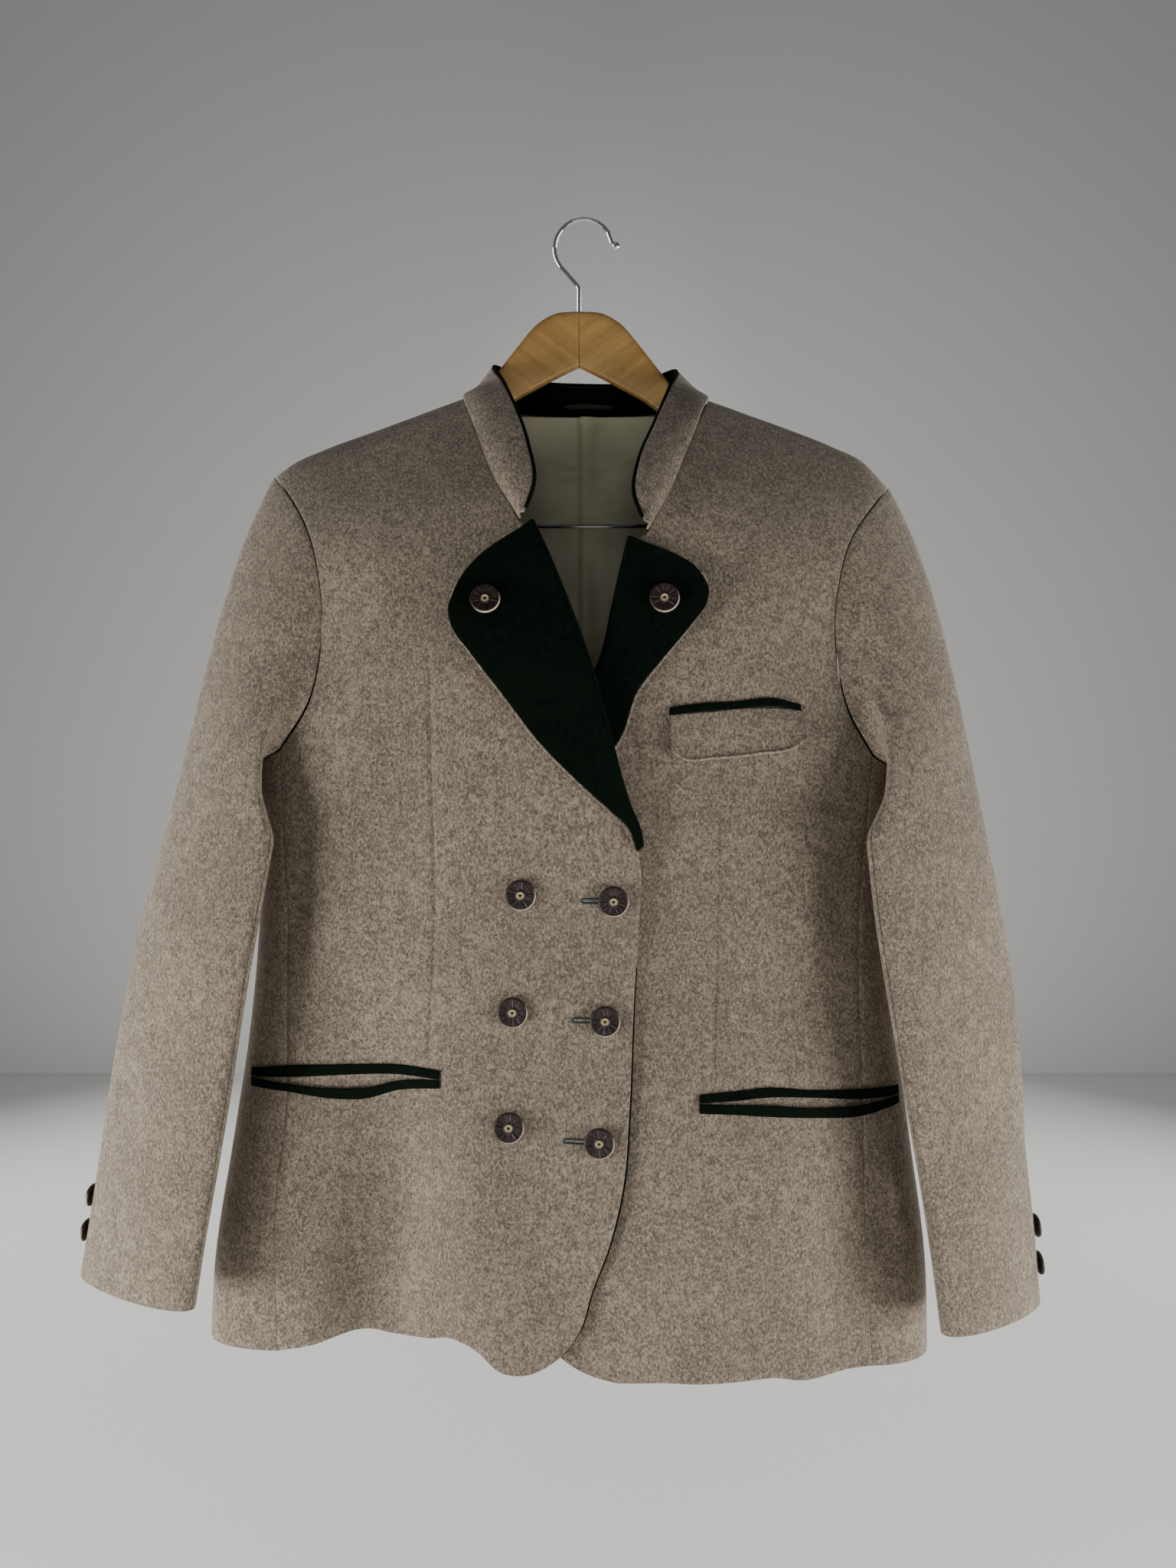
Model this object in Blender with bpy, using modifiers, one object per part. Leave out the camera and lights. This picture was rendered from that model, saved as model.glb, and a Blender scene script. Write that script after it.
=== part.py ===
"""A double breasted loden coat hanging on a wooden hanger.

Metres, +Z up. The front faces -Y, the back hangs against a wall on the +Y side, and +X is the
right of someone who looks at the front. The origin is the inner top of the hanger's hook.
Names use the wearer's right and left: the right front is at -X, and laps over the left front.

Each cloth piece is an open grid of points on the garment's own surface, given a wall by Solidify.
The body is one surface: its ring at each height runs through a half width, a front depth and a back
depth, and it closes up to the shoulder line.
"""

import math

import bmesh
import bpy
import numpy as np
from mathutils import Vector

COAT = "loden_coat_on_wooden_hanger"

# Cloth and gaps
LODEN = 0.0020
FELT = 0.0013
LINING = 0.0010
SEAM_GAP = 0.0003
LAID_GAP = 0.0004

# Body
SHOULDER_ROUNDING = 0.14
SHOULDER_CURVE = 0.25
CENTRE_AT_SHOULDER = -0.003
CENTRE_DRIFT = 0.0125
# z, half width, front depth, back depth
TORSO = (
    (-0.93, 0.285, 0.080, 0.030),
    (-0.84, 0.282, 0.080, 0.030),
    (-0.74, 0.268, 0.080, 0.030),
    (-0.66, 0.257, 0.080, 0.030),
    (-0.56, 0.250, 0.080, 0.030),
    (-0.45, 0.253, 0.079, 0.030),
    (-0.36, 0.257, 0.075, 0.029),
    (-0.26, 0.258, 0.065, 0.026),
    (-0.18, 0.256, 0.046, 0.023),
    (-0.09, 0.252, 0.034, 0.020),
)
# x, z of the shoulder line, under the collar too
SHOULDER_LINE = (
    (-0.300, -0.2520),
    (-0.2476, -0.2156),
    (-0.2358, -0.2064),
    (-0.2084, -0.1927),
    (-0.1711, -0.1778),
    (-0.135, -0.1635),
    (-0.098, -0.1490),
    (-0.050, -0.1320),
    (0.0, -0.1250),
    (0.050, -0.1340),
    (0.103, -0.1510),
    (0.1358, -0.1635),
    (0.1694, -0.1766),
    (0.2024, -0.1909),
    (0.2279, -0.2052),
    (0.2449, -0.2245),
    (0.300, -0.2640),
)
# x low, z low, x high, z high, half width, height outward, runs out at the hem
FRONT_FOLDS = (
    (-0.165, -0.93, -0.150, -0.58, 0.058, -0.030, True),
    (-0.062, -0.93, -0.075, -0.66, 0.036, 0.015, True),
    (0.105, -0.93, 0.100, -0.60, 0.090, 0.018, True),
    (0.205, -0.93, 0.210, -0.66, 0.028, -0.010, True),
    (-0.205, -0.42, -0.200, -0.25, 0.022, -0.008, False),
    (0.195, -0.42, 0.188, -0.24, 0.022, -0.009, False),
)
BACK_FOLDS = (
    (-0.140, -0.93, -0.120, -0.52, 0.050, -0.014, True),
    (0.150, -0.93, 0.125, -0.56, 0.044, -0.013, True),
    (0.020, -0.93, 0.010, -0.60, 0.040, 0.005, True),
)

# Fronts: x, z up the edge from the hem's end, then up the roll line, then up the neck seam
RIGHT_FRONT_EDGE = (
    (-0.0518, -0.9025),
    (-0.0422, -0.9025),
    (-0.0191, -0.8928),
    (-0.0013, -0.8705),
    (0.0067, -0.8447),
    (0.0203, -0.8085),
    (0.0317, -0.7575),
    (0.0347, -0.7154),
    (0.0383, -0.6200),
    (0.0420, -0.5600),
    (0.0430, -0.5300),
    (0.0405, -0.5080),
)
RIGHT_ROLL = (
    (0.0395, -0.5030),
    (0.0312, -0.4817),
    (0.0158, -0.4268),
    (0.0044, -0.3838),
    (-0.0152, -0.3288),
    (-0.0262, -0.2949),
    (-0.0385, -0.2663),
)
RIGHT_NECK = (
    (-0.0485, -0.2618),
    (-0.0680, -0.2285),
    (-0.0845, -0.1870),
    (-0.0970, -0.1495),
)
RIGHT_HEM = (
    (-0.0518, -0.9025),
    (-0.0597, -0.9002),
    (-0.0760, -0.8860),
    (-0.0950, -0.8815),
    (-0.1172, -0.8867),
    (-0.1464, -0.8917),
    (-0.1698, -0.8893),
    (-0.2066, -0.8956),
    (-0.2350, -0.9000),
)
LEFT_FRONT_EDGE = (
    (0.0260, -0.9126),
    (0.0044, -0.9077),
    (-0.0175, -0.8939),
    (-0.0320, -0.8700),
    (-0.0430, -0.8400),
    (-0.0550, -0.7900),
    (-0.0660, -0.7154),
    (-0.0700, -0.6200),
    (-0.0720, -0.5600),
    (-0.0715, -0.5120),
)
LEFT_ROLL = (
    (-0.0706, -0.5060),
    (-0.0480, -0.4720),
    (-0.0220, -0.4340),
    (0.0000, -0.3970),
    (0.0143, -0.3628),
    (0.0213, -0.3241),
    (0.0299, -0.3013),
    (0.0355, -0.2764),
)
LEFT_NECK = (
    (0.0493, -0.2705),
    (0.0667, -0.2380),
    (0.0798, -0.2072),
    (0.0945, -0.1690),
    (0.1020, -0.1512),
)
LEFT_HEM = (
    (0.0260, -0.9126),
    (0.0630, -0.9118),
    (0.1021, -0.9096),
    (0.1381, -0.9092),
    (0.1671, -0.9141),
    (0.1849, -0.9139),
    (0.2231, -0.9121),
)
RIGHT_SIDE_SEAM = (
    (-0.2350, -0.9000),
    (-0.2380, -0.8224),
    (-0.2372, -0.7815),
    (-0.2294, -0.7182),
    (-0.2277, -0.6376),
    (-0.2279, -0.5773),
    (-0.2310, -0.5143),
    (-0.2340, -0.4370),
)
LEFT_SIDE_SEAM = (
    (0.2231, -0.9121),
    (0.2184, -0.8409),
    (0.2165, -0.7764),
    (0.2146, -0.6972),
    (0.2123, -0.6389),
    (0.2125, -0.5648),
    (0.2180, -0.5000),
    (0.2240, -0.4420),
)
# x, z from the side seam's top up to the shoulder's end, on the front and on the back
RIGHT_FRONT_ARMHOLE = (
    (-0.2340, -0.4370),
    (-0.2120, -0.4040),
    (-0.2030, -0.3600),
    (-0.2045, -0.3050),
    (-0.2155, -0.2640),
    (-0.2290, -0.2400),
    (-0.2476, -0.2156),
)
LEFT_FRONT_ARMHOLE = (
    (0.2240, -0.4420),
    (0.2040, -0.4080),
    (0.1960, -0.3650),
    (0.1975, -0.3130),
    (0.2090, -0.2720),
    (0.2260, -0.2470),
    (0.2449, -0.2245),
)
# wearer's side, sign of x, and the front's edges
PANELS = (
    (
        "right",
        -1,
        RIGHT_HEM,
        RIGHT_FRONT_EDGE,
        RIGHT_ROLL,
        RIGHT_NECK,
        RIGHT_SIDE_SEAM,
        RIGHT_FRONT_ARMHOLE,
    ),
    (
        "left",
        1,
        LEFT_HEM,
        LEFT_FRONT_EDGE,
        LEFT_ROLL,
        LEFT_NECK,
        LEFT_SIDE_SEAM,
        LEFT_FRONT_ARMHOLE,
    ),
)
PANEL_ROWS = 14
ARMHOLE_GAP = 0.0013
BACK_ARMHOLE_IN = 0.0096
BACK_NECK = -0.158
BACK_NECK_SAG = 0.003
UNDERARM_DROP = 0.016
BACK_SEAM_SHARE = 0.80
BACK_HEM = -0.902

# Overlap: height of the right front over the left one
OVERLAP = 0.0054
OVERLAP_AT_LAPEL = 0.0098
OVERLAP_START = -0.150
OVERLAP_FULL = -0.080
OVERLAP_END = -0.26

# Lapels: radius of the fold at the roll line, and the tip's stand off
FOLD_RADIUS_LOW = 0.0023
FOLD_RADIUS_HIGH = 0.0031
TIP_STAND_OFF = 0.0030
LAPEL_PRESS = 0.6
FACING_INSIDE = 0.012
FACING_SHY = 0.0012
ROLL_GAP = 0.0017
INSIDE_GAP = 0.0008
EDGE_FACING_OUT = 0.0013
EDGE_FACING_IN = 0.0130
EDGE_FACING_TOP = -0.600
WELT_GAP = 0.0013
# x, z of a lapel's outer edge, from the break up to its tip
RIGHT_LAPEL_EDGE = (
    (0.0345, -0.5060),
    (0.0270, -0.4930),
    (0.0095, -0.4782),
    (-0.0253, -0.4457),
    (-0.0609, -0.4015),
    (-0.0964, -0.3483),
    (-0.1005, -0.3308),
    (-0.0955, -0.3128),
)
LEFT_LAPEL_EDGE = (
    (-0.0640, -0.5160),
    (-0.0300, -0.4880),
    (0.0050, -0.4600),
    (0.0301, -0.4285),
    (0.0623, -0.3750),
    (0.0891, -0.3337),
    (0.0956, -0.3185),
    (0.0900, -0.2985),
)
LAPELS = (
    ("right", RIGHT_ROLL, RIGHT_LAPEL_EDGE),
    ("left", LEFT_ROLL, LEFT_LAPEL_EDGE),
)

# Collar: x, y, z of its seam and of its edge, from the right front end round the back
COLLAR_SEAM = (
    (-0.0470, -0.0700, -0.2590),
    (-0.0665, -0.0615, -0.2270),
    (-0.0830, -0.0450, -0.1850),
    (-0.0960, -0.0100, -0.1470),
    (-0.0900, 0.0130, -0.1470),
    (-0.0480, 0.0235, -0.1560),
    (0.0, 0.0255, -0.1580),
    (0.0500, 0.0235, -0.1570),
    (0.0940, 0.0130, -0.1490),
    (0.1005, -0.0100, -0.1490),
    (0.0930, -0.0380, -0.1690),
    (0.0785, -0.0555, -0.2060),
    (0.0650, -0.0660, -0.2380),
    (0.0480, -0.0730, -0.2680),
)
COLLAR_EDGE = (
    (-0.0450, -0.0790, -0.2575),
    (-0.0385, -0.0740, -0.2330),
    (-0.0440, -0.0600, -0.2000),
    (-0.0645, -0.0250, -0.1420),
    (-0.0730, 0.0000, -0.1215),
    (-0.0480, 0.0165, -0.1270),
    (0.0, 0.0185, -0.1310),
    (0.0500, 0.0170, -0.1290),
    (0.0760, 0.0000, -0.1250),
    (0.0700, -0.0230, -0.1460),
    (0.0570, -0.0440, -0.1800),
    (0.0440, -0.0620, -0.2140),
    (0.0400, -0.0730, -0.2400),
    (0.0465, -0.0810, -0.2650),
)
COLLAR_BOW = 0.004
PIPING_RADIUS = 0.0015
PIPING_GAP = 0.0009
COLLAR_GAP = 0.0010
LOOP_MIDDLE = 0.497
LOOP_SPAN = 0.070
LOOP_SLACK = 0.0030
LOOP_WALL = 0.0015

# Sleeves: z, x of the outer side, x of the inner side, y of the middle, half thickness
RIGHT_SLEEVE = (
    (-0.510, -0.3335, -0.2345, -0.0600, 0.0260),
    (-0.570, -0.3495, -0.2445, -0.0620, 0.0260),
    (-0.630, -0.3620, -0.2545, -0.0630, 0.0265),
    (-0.690, -0.3727, -0.2635, -0.0630, 0.0270),
    (-0.750, -0.3820, -0.2740, -0.0620, 0.0275),
    (-0.810, -0.3919, -0.2850, -0.0600, 0.0285),
    (-0.855, -0.4000, -0.2920, -0.0590, 0.0300),
)
LEFT_SLEEVE = (
    (-0.510, 0.3170, 0.2120, -0.0720, 0.0240),
    (-0.570, 0.3300, 0.2190, -0.0700, 0.0250),
    (-0.630, 0.3400, 0.2290, -0.0680, 0.0265),
    (-0.690, 0.3450, 0.2395, -0.0680, 0.0270),
    (-0.750, 0.3480, 0.2510, -0.0660, 0.0275),
    (-0.810, 0.3550, 0.2610, -0.0640, 0.0285),
    (-0.874, 0.3610, 0.2700, -0.0620, 0.0300),
)
SLEEVE_TILT = math.radians(27)
SLEEVE_LIFT_AT_UNDERARM = 0.0027
# the way the sleeve leaves the armhole: across, forward and down at the shoulder and under the arm
SLEEVE_HEAD = (0.55, -0.25, -0.90)
SLEEVE_UNDERARM = (1.50, -0.25, -0.35)
SLEEVE_CAP_ROWS = (0, 0.03, 0.08)
SLEEVE_ROWS = 8
# turns round the sleeve: 0 on the outer side, then by the front to 0.5 on the inner side
TOP_SLEEVE_FROM = -0.09
TOP_SLEEVE_TO = 0.43
SLEEVES = (
    ("right", -1, RIGHT_SIDE_SEAM, RIGHT_FRONT_ARMHOLE, RIGHT_SLEEVE),
    ("left", 1, LEFT_SIDE_SEAM, LEFT_FRONT_ARMHOLE, LEFT_SLEEVE),
)

# Pockets: x, z upper edge, z upper rim of the mouth, z lower rim of the mouth, z lower edge
RIGHT_HIP_POCKET = (
    (-0.2570, -0.6846, -0.6912, -0.6918, -0.6986),
    (-0.2284, -0.6805, -0.6893, -0.6940, -0.7001),
    (-0.1900, -0.6790, -0.6871, -0.6973, -0.7058),
    (-0.1705, -0.6787, -0.6864, -0.6972, -0.7062),
    (-0.1407, -0.6785, -0.6859, -0.6906, -0.6981),
    (-0.1073, -0.6808, -0.6875, -0.6880, -0.6944),
)
LEFT_HIP_POCKET = (
    (0.0873, -0.6970, -0.7032, -0.7037, -0.7105),
    (0.1140, -0.6950, -0.7018, -0.7050, -0.7118),
    (0.1387, -0.6931, -0.7001, -0.7058, -0.7140),
    (0.1757, -0.6965, -0.7020, -0.7095, -0.7169),
    (0.2115, -0.6980, -0.7056, -0.7100, -0.7186),
    (0.2447, -0.6989, -0.7060, -0.7066, -0.7127),
)
WELT_SAG = 0.0022
FLAP_STAND_OFF = 0.0025
# x, z upper edge and z lower edge of the chest welt and of the flap under it
CHEST_WELT = (
    (0.0653, -0.4059, -0.4112),
    (0.0857, -0.4028, -0.4085),
    (0.1145, -0.4011, -0.4060),
    (0.1475, -0.3985, -0.4043),
    (0.1660, -0.4029, -0.4074),
)
CHEST_FLAP = (
    (0.0665, -0.4116, -0.4401),
    (0.0730, -0.4107, -0.4444),
    (0.0979, -0.4083, -0.4448),
    (0.1308, -0.4056, -0.4416),
    (0.1599, -0.4070, -0.4362),
    (0.1690, -0.4085, -0.4300),
)

# Buttons: x, z
CLOSING_BUTTONS = (
    ("top_right", -0.0463, -0.5466),
    ("middle_right", -0.0524, -0.6347),
    ("bottom_right", -0.0553, -0.7213),
    ("top_left", 0.0227, -0.5514),
    ("middle_left", 0.0166, -0.6415),
    ("bottom_left", 0.0132, -0.7318),
)
BUTTON_RADIUS = 0.0115
BUTTON_HEIGHT = 0.0045
BUTTON_GAP = 0.0007
CUFF_BUTTON_GAP = 0.0004
LAPEL_BUTTON_GAP = 0.0007
CUFF_BUTTON_RADIUS = 0.0092
CUFF_BUTTON_HEIGHTS = (0.032, 0.062)
CUFF_BUTTON_AT = -0.045
RIGHT_LAPEL_BUTTON = (-0.0737, -0.3251)
LEFT_LAPEL_BUTTON = (0.0617, -0.3228)
# share of the radius, share of the height, down the face from its middle, and the underside
BUTTON_PROFILE = (
    (0.0, 1.0),
    (0.28, 1.0),
    (0.42, 0.78),
    (0.72, 0.82),
    (0.93, 0.70),
    (1.0, 0.45),
    (0.86, 0.12),
    (0.30, 0.0),
    (0.0, 0.0),
)

# Back lining: x from, x to, its lower edge, its top under the collar, and how far inside the back
LINING_X = (-0.150, 0.145)
LINING_LOW = -0.52
LINING_TOP = -0.166
LINING_UNDER_SHOULDER = 0.022
LINING_STAND_OFF = 0.0035
LINING_ROWS = (0, 0.2, 0.4, 0.55, 0.7, 0.82, 0.91, 0.96, 1.0)

# Hanger
ARM_THICK = 0.013
ARM_SQUARENESS = 0.75
HANGER_JOINT = -0.0035
# distance from the joint, z of the upper side, z of the underside, y of the middle
HANGER_ARM = (
    (0.0, -0.0755, -0.1207, 0.0000),
    (0.021, -0.0785, -0.1310, -0.0010),
    (0.034, -0.0866, -0.1385, -0.0020),
    (0.053, -0.1093, -0.1495, -0.0030),
    (0.066, -0.1262, -0.1590, -0.0035),
    (0.080, -0.1445, -0.1690, -0.0045),
    (0.100, -0.1640, -0.1810, -0.0065),
    (0.140, -0.1805, -0.1970, -0.0092),
    (0.185, -0.1990, -0.2150, -0.0125),
    (0.215, -0.2145, -0.2290, -0.0148),
)
WIRE_RADIUS = 0.0016
HOOK_RADIUS = 0.0242
HOOK_CENTRE = (0.0004, -0.0226)
HOOK_FROM = math.radians(218)
HOOK_TO = math.radians(35)
# x, z up the stem, which stands in the joint of the arms
HOOK_STEM = (
    (HANGER_JOINT, -0.0748),
    (HANGER_JOINT, -0.0560),
    (HANGER_JOINT - 0.0014, -0.0532),
)
HOOK_TAIL = (0.0234, -0.0176)
HOOK_BALL = (0.0271, -0.0205)
HOOK_BALL_RADIUS = 0.0030
BAR_RADIUS = 0.0017
BAR_HALF = 0.186
BAR_Z = -0.2530
BAR_Y = -0.008
BAR_BEND = 0.008
# x past the bar's end, y, z, from its seat in the wood down
BAR_ENDS = (
    (0.004, -0.010, -0.2190),
    (0.004, -0.010, BAR_Z + 0.010),
    (0.000, -0.010, BAR_Z + 0.003),
)


def spline(table):
    """A smooth function through a table's rows: the first column is where, the others are values."""
    rows = np.asarray(table, float)
    where, values = rows[:, 0], rows[:, 1:]
    if where[0] > where[-1]:
        where, values = where[::-1], values[::-1]
    slopes = np.gradient(values, where, axis=0)

    def at(place):
        place = np.clip(np.asarray(place, float), where[0], where[-1])
        i = np.clip(np.searchsorted(where, place, side="right") - 1, 0, len(where) - 2)
        step = (where[i + 1] - where[i])[..., None]
        s = (place - where[i])[..., None] / step
        rise = (3 - 2 * s) * s * s
        value = (1 - rise) * values[i] + rise * values[i + 1]
        value = value + s * (1 - s) ** 2 * step * slopes[i]
        return value - s * s * (1 - s) * step * slopes[i + 1]

    return at


def smooth(share):
    share = np.clip(share, 0, 1)
    return share * share * (3 - 2 * share)


def through(points, shares):
    """Points at these shares of the length of a smooth curve through the given points."""
    points = np.asarray(points, float)
    steps = np.linalg.norm(np.diff(points, axis=0), axis=1)
    along = np.concatenate([[0], np.cumsum(steps)])
    table = np.column_stack([along / along[-1], points])
    return spline(table)(np.asarray(shares, float))


torso_at = spline(TORSO)
shoulder_line = spline(SHOULDER_LINE)


def centre_x(z):
    return CENTRE_AT_SHOULDER + CENTRE_DRIFT * (z + 0.25)


def fold_height(folds, x, z):
    """Long soft ridges and troughs: each is a bell across its own line, and fades along it."""
    total = np.zeros(np.broadcast(x, z).shape)
    for x_low, z_low, x_high, z_high, half_width, height, at_hem in folds:
        run = np.array((x_high - x_low, z_high - z_low))
        length = np.hypot(*run)
        along = ((x - x_low) * run[0] + (z - z_low) * run[1]) / length**2
        across = ((x - x_low) * run[1] - (z - z_low) * run[0]) / length
        fade = smooth((1 - along) / 0.6)
        if not at_hem:
            fade = fade * smooth(along / 0.4)
        total = total + height * np.exp(-((across / half_width) ** 2)) * fade
    return total


def ring_share(x, z):
    """How far the front or back stands off the middle plane, from 0 at the side to 1."""
    half_width = torso_at(z)[..., 0]
    sine = np.clip((x - centre_x(z)) / half_width, -0.9995, 0.9995)
    below = np.clip(shoulder_line(x)[..., 0] - z, 0, SHOULDER_ROUNDING) / SHOULDER_ROUNDING
    closing = (1 - (1 - below) ** 2) ** 0.6
    return (1 - sine * sine) ** 0.25 * closing, below


def middle_y(x, below):
    return -SHOULDER_CURVE * x * x * np.exp(-below * SHOULDER_ROUNDING / 0.12)


def front_y(x, z):
    share, below = ring_share(x, z)
    depth = torso_at(z)[..., 1] + fold_height(FRONT_FOLDS, x, z)
    return middle_y(x, below) - depth * share


def back_y(x, z):
    share, below = ring_share(x, z)
    depth = torso_at(z)[..., 2] + fold_height(BACK_FOLDS, x, z)
    return middle_y(x, below) + depth * share


def on_front(x, z, height=0.0):
    """Points over the front surface, this far out along its normal."""
    step = 0.0015
    x, z = np.broadcast_arrays(np.asarray(x, float), np.asarray(z, float))
    slope_x = (front_y(x + step, z) - front_y(x - step, z)) / (2 * step)
    slope_z = (front_y(x, z + step) - front_y(x, z - step)) / (2 * step)
    normal = unit(np.stack([slope_x, -np.ones_like(x), slope_z], -1))
    return np.stack([x, front_y(x, z), z], -1) + np.asarray(height)[..., None] * normal


def overlap(x, z):
    """The right front's height over the surface: it clears the left front, and more at its lapel."""
    at_lapel = smooth((z + 0.60) / 0.10) * smooth((-0.30 - z) / 0.08)
    height = OVERLAP + (OVERLAP_AT_LAPEL - OVERLAP) * at_lapel
    inward = smooth((x - OVERLAP_START) / (OVERLAP_FULL - OVERLAP_START))
    return height * inward * smooth((OVERLAP_END - z) / 0.09)


def coons(low, high, first, last):
    """The patch between four edges: low and high run across, first and last run up."""
    up = np.linspace(0, 1, len(first))[:, None, None]
    across = np.linspace(0, 1, len(low))[None, :, None]
    ruled_up = (1 - up) * low[None] + up * high[None]
    ruled_across = (1 - across) * first[:, None] + across * last[:, None]
    corners = (1 - up) * ((1 - across) * low[0] + across * low[-1])
    corners = corners + up * ((1 - across) * high[0] + across * high[-1])
    return ruled_up + ruled_across - corners


def unit(vectors):
    return vectors / np.maximum(np.linalg.norm(vectors, axis=-1, keepdims=True), 1e-6)


def drawn_in(grid):
    """The grid with each edge moved in by half the seam gap."""
    grid = grid.copy()
    edges = (
        (np.s_[0], np.s_[1]),
        (np.s_[-1], np.s_[-2]),
        (np.s_[:, 0], np.s_[:, 1]),
        (np.s_[:, -1], np.s_[:, -2]),
    )
    for edge, inner in edges:
        grid[edge] = grid[edge] + unit(grid[inner] - grid[edge]) * SEAM_GAP / 2
    return grid


def material(name, colour, roughness, metallic=0.0):
    made = bpy.data.materials.new(name)
    made.use_nodes = True
    shader = made.node_tree.nodes["Principled BSDF"]
    shader.inputs["Base Color"].default_value = (*colour, 1)
    shader.inputs["Roughness"].default_value = roughness
    shader.inputs["Metallic"].default_value = metallic
    return made


def add_object(name, data, finish):
    piece = bpy.data.objects.new(name, data)
    piece.data.materials.append(FINISHES[finish])
    bpy.data.collections[COAT].objects.link(piece)
    return piece


def cloth(name, grid, wall, finish, outward):
    """A sheet of cloth on a grid of points, whose wall is laid on the side that faces outward."""
    rows, columns = grid.shape[:2]
    shape = bmesh.new()
    bmesh.ops.create_grid(shape, x_segments=columns - 1, y_segments=rows - 1, size=1)
    shape.verts.ensure_lookup_table()
    for vertex, place in zip(shape.verts, grid.reshape(-1, 3)):
        vertex.co = place
    shape.normal_update()
    outward = np.broadcast_to(np.asarray(outward, float), grid.shape).reshape(-1, 3)
    facing = sum(np.dot(vertex.normal, way) for vertex, way in zip(shape.verts, outward))
    if facing < 0:
        bmesh.ops.reverse_faces(shape, faces=shape.faces)
    mesh = bpy.data.meshes.new(name)
    shape.to_mesh(mesh)
    shape.free()
    mesh.shade_smooth()
    piece = add_object(name, mesh, finish)
    solidify = piece.modifiers.new("Wall", "SOLIDIFY")
    solidify.thickness = wall
    solidify.offset = 1
    return piece


def body_panels():
    for side, sign, hem, edge, roll, neck, seam, armhole in PANELS:
        front_panel(side, hem, edge, roll, neck, seam, armhole)
        side_panel(side, sign, seam)
        back_panel(side, sign, seam, armhole, neck)


def front_panel(side, hem, edge, roll, neck, seam, armhole):
    """A front: the patch between its hem, its edges and the shoulder, laid over the body's surface."""
    inner = np.concatenate(
        [
            through(edge, np.linspace(0, 1, 13)),
            through(roll, np.linspace(0, 1, 9))[1:],
            through(neck, (0.0, 0.3, 0.6, 0.85, 1.0)),
        ]
    )
    outer = np.concatenate(
        [through(seam, np.linspace(0, 1, PANEL_ROWS)), through(armhole, np.linspace(0, 1, 13))[1:]]
    )
    low = through(hem, np.linspace(0, 1, 12))
    x = np.linspace(inner[-1, 0], outer[-1, 0], len(low))
    high = np.stack([x, shoulder_line(x)[..., 0]], -1)
    inner[-1], outer[-1], low[0], low[-1] = high[0], high[-1], inner[0], outer[0]
    flat = coons(low, high, inner, outer)
    x, z = flat[..., 0], flat[..., 1]
    height = overlap(x, z) if side == "right" else 0 * x
    grid = on_front(x, z, height)
    grid[-1] = np.stack([x[-1], middle_y(x[-1], 0), z[-1]], -1)
    cloth(side + "_front", drawn_in(grid), LODEN, "loden", (0, -1, 0))


def ring_point(side, angle, z):
    """A point of the body's ring: angle 0 is the very side, 90 degrees is the centre front."""
    half_width = torso_at(z)[..., 0]
    share = np.sin(angle)
    x = centre_x(z) + side * half_width * np.cos(angle) * np.sqrt(1 + share * share)
    below = np.clip(shoulder_line(x)[..., 0] - z, 0, SHOULDER_ROUNDING) / SHOULDER_ROUNDING
    front = torso_at(z)[..., 1] + fold_height(FRONT_FOLDS, x, z)
    back = torso_at(z)[..., 2] + fold_height(BACK_FOLDS, x, z)
    closing = (1 - (1 - below) ** 2) ** 0.6
    depth = np.where(share > 0, front, back)
    return np.stack([x, middle_y(x, below) - depth * share * closing, z], -1)


def ring_angle(x, z):
    """The angle round the body's ring of a place on its front, between the side and the middle."""
    half_width = torso_at(z)[..., 0]
    sine = np.clip((x - centre_x(z)) / half_width, -0.9995, 0.9995)
    return np.arcsin((1 - sine * sine) ** 0.25)


def underarm(seam):
    """The armhole under the arm: angle and z, from the front side seam round to the back one."""
    x, z = seam[-1]
    start = ring_angle(np.array(x), np.array(z))
    shares = np.linspace(0, 1, 9)
    angle = start * (1 - 2 * shares * (1 + BACK_SEAM_SHARE) / 2)
    drop = UNDERARM_DROP * np.sin(math.pi * shares) ** 0.8
    return np.stack([angle, z - drop], -1)


def side_panel(side, sign, seam):
    """The panel under the arm, a patch of angles and heights on the body's ring."""
    front = through(seam, np.linspace(0, 1, PANEL_ROWS))
    first = np.stack([ring_angle(front[:, 0], front[:, 1]), front[:, 1]], -1)
    high = underarm(seam)
    rear_z = np.linspace(first[0, 1], high[-1, 1], PANEL_ROWS)
    last = np.stack([-BACK_SEAM_SHARE * first[:, 0], rear_z], -1)
    hem = np.linspace(first[0, 0], last[0, 0], len(high))
    low = np.stack([hem, np.full(len(high), first[0, 1])], -1)
    flat = coons(low, high, first, last)
    grid = ring_point(sign, flat[..., 0], flat[..., 1])
    cloth(side + "_side", drawn_in(grid), LODEN, "loden", (sign, 0, 0))


def back_armhole(armhole):
    """The back's armhole: the front one, less hollow."""
    points = np.asarray(armhole, float).copy()
    inward = np.sin(np.linspace(0, math.pi, len(points)))
    points[:, 0] += np.sign(points[0, 0]) * BACK_ARMHOLE_IN * inward
    return points


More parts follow.
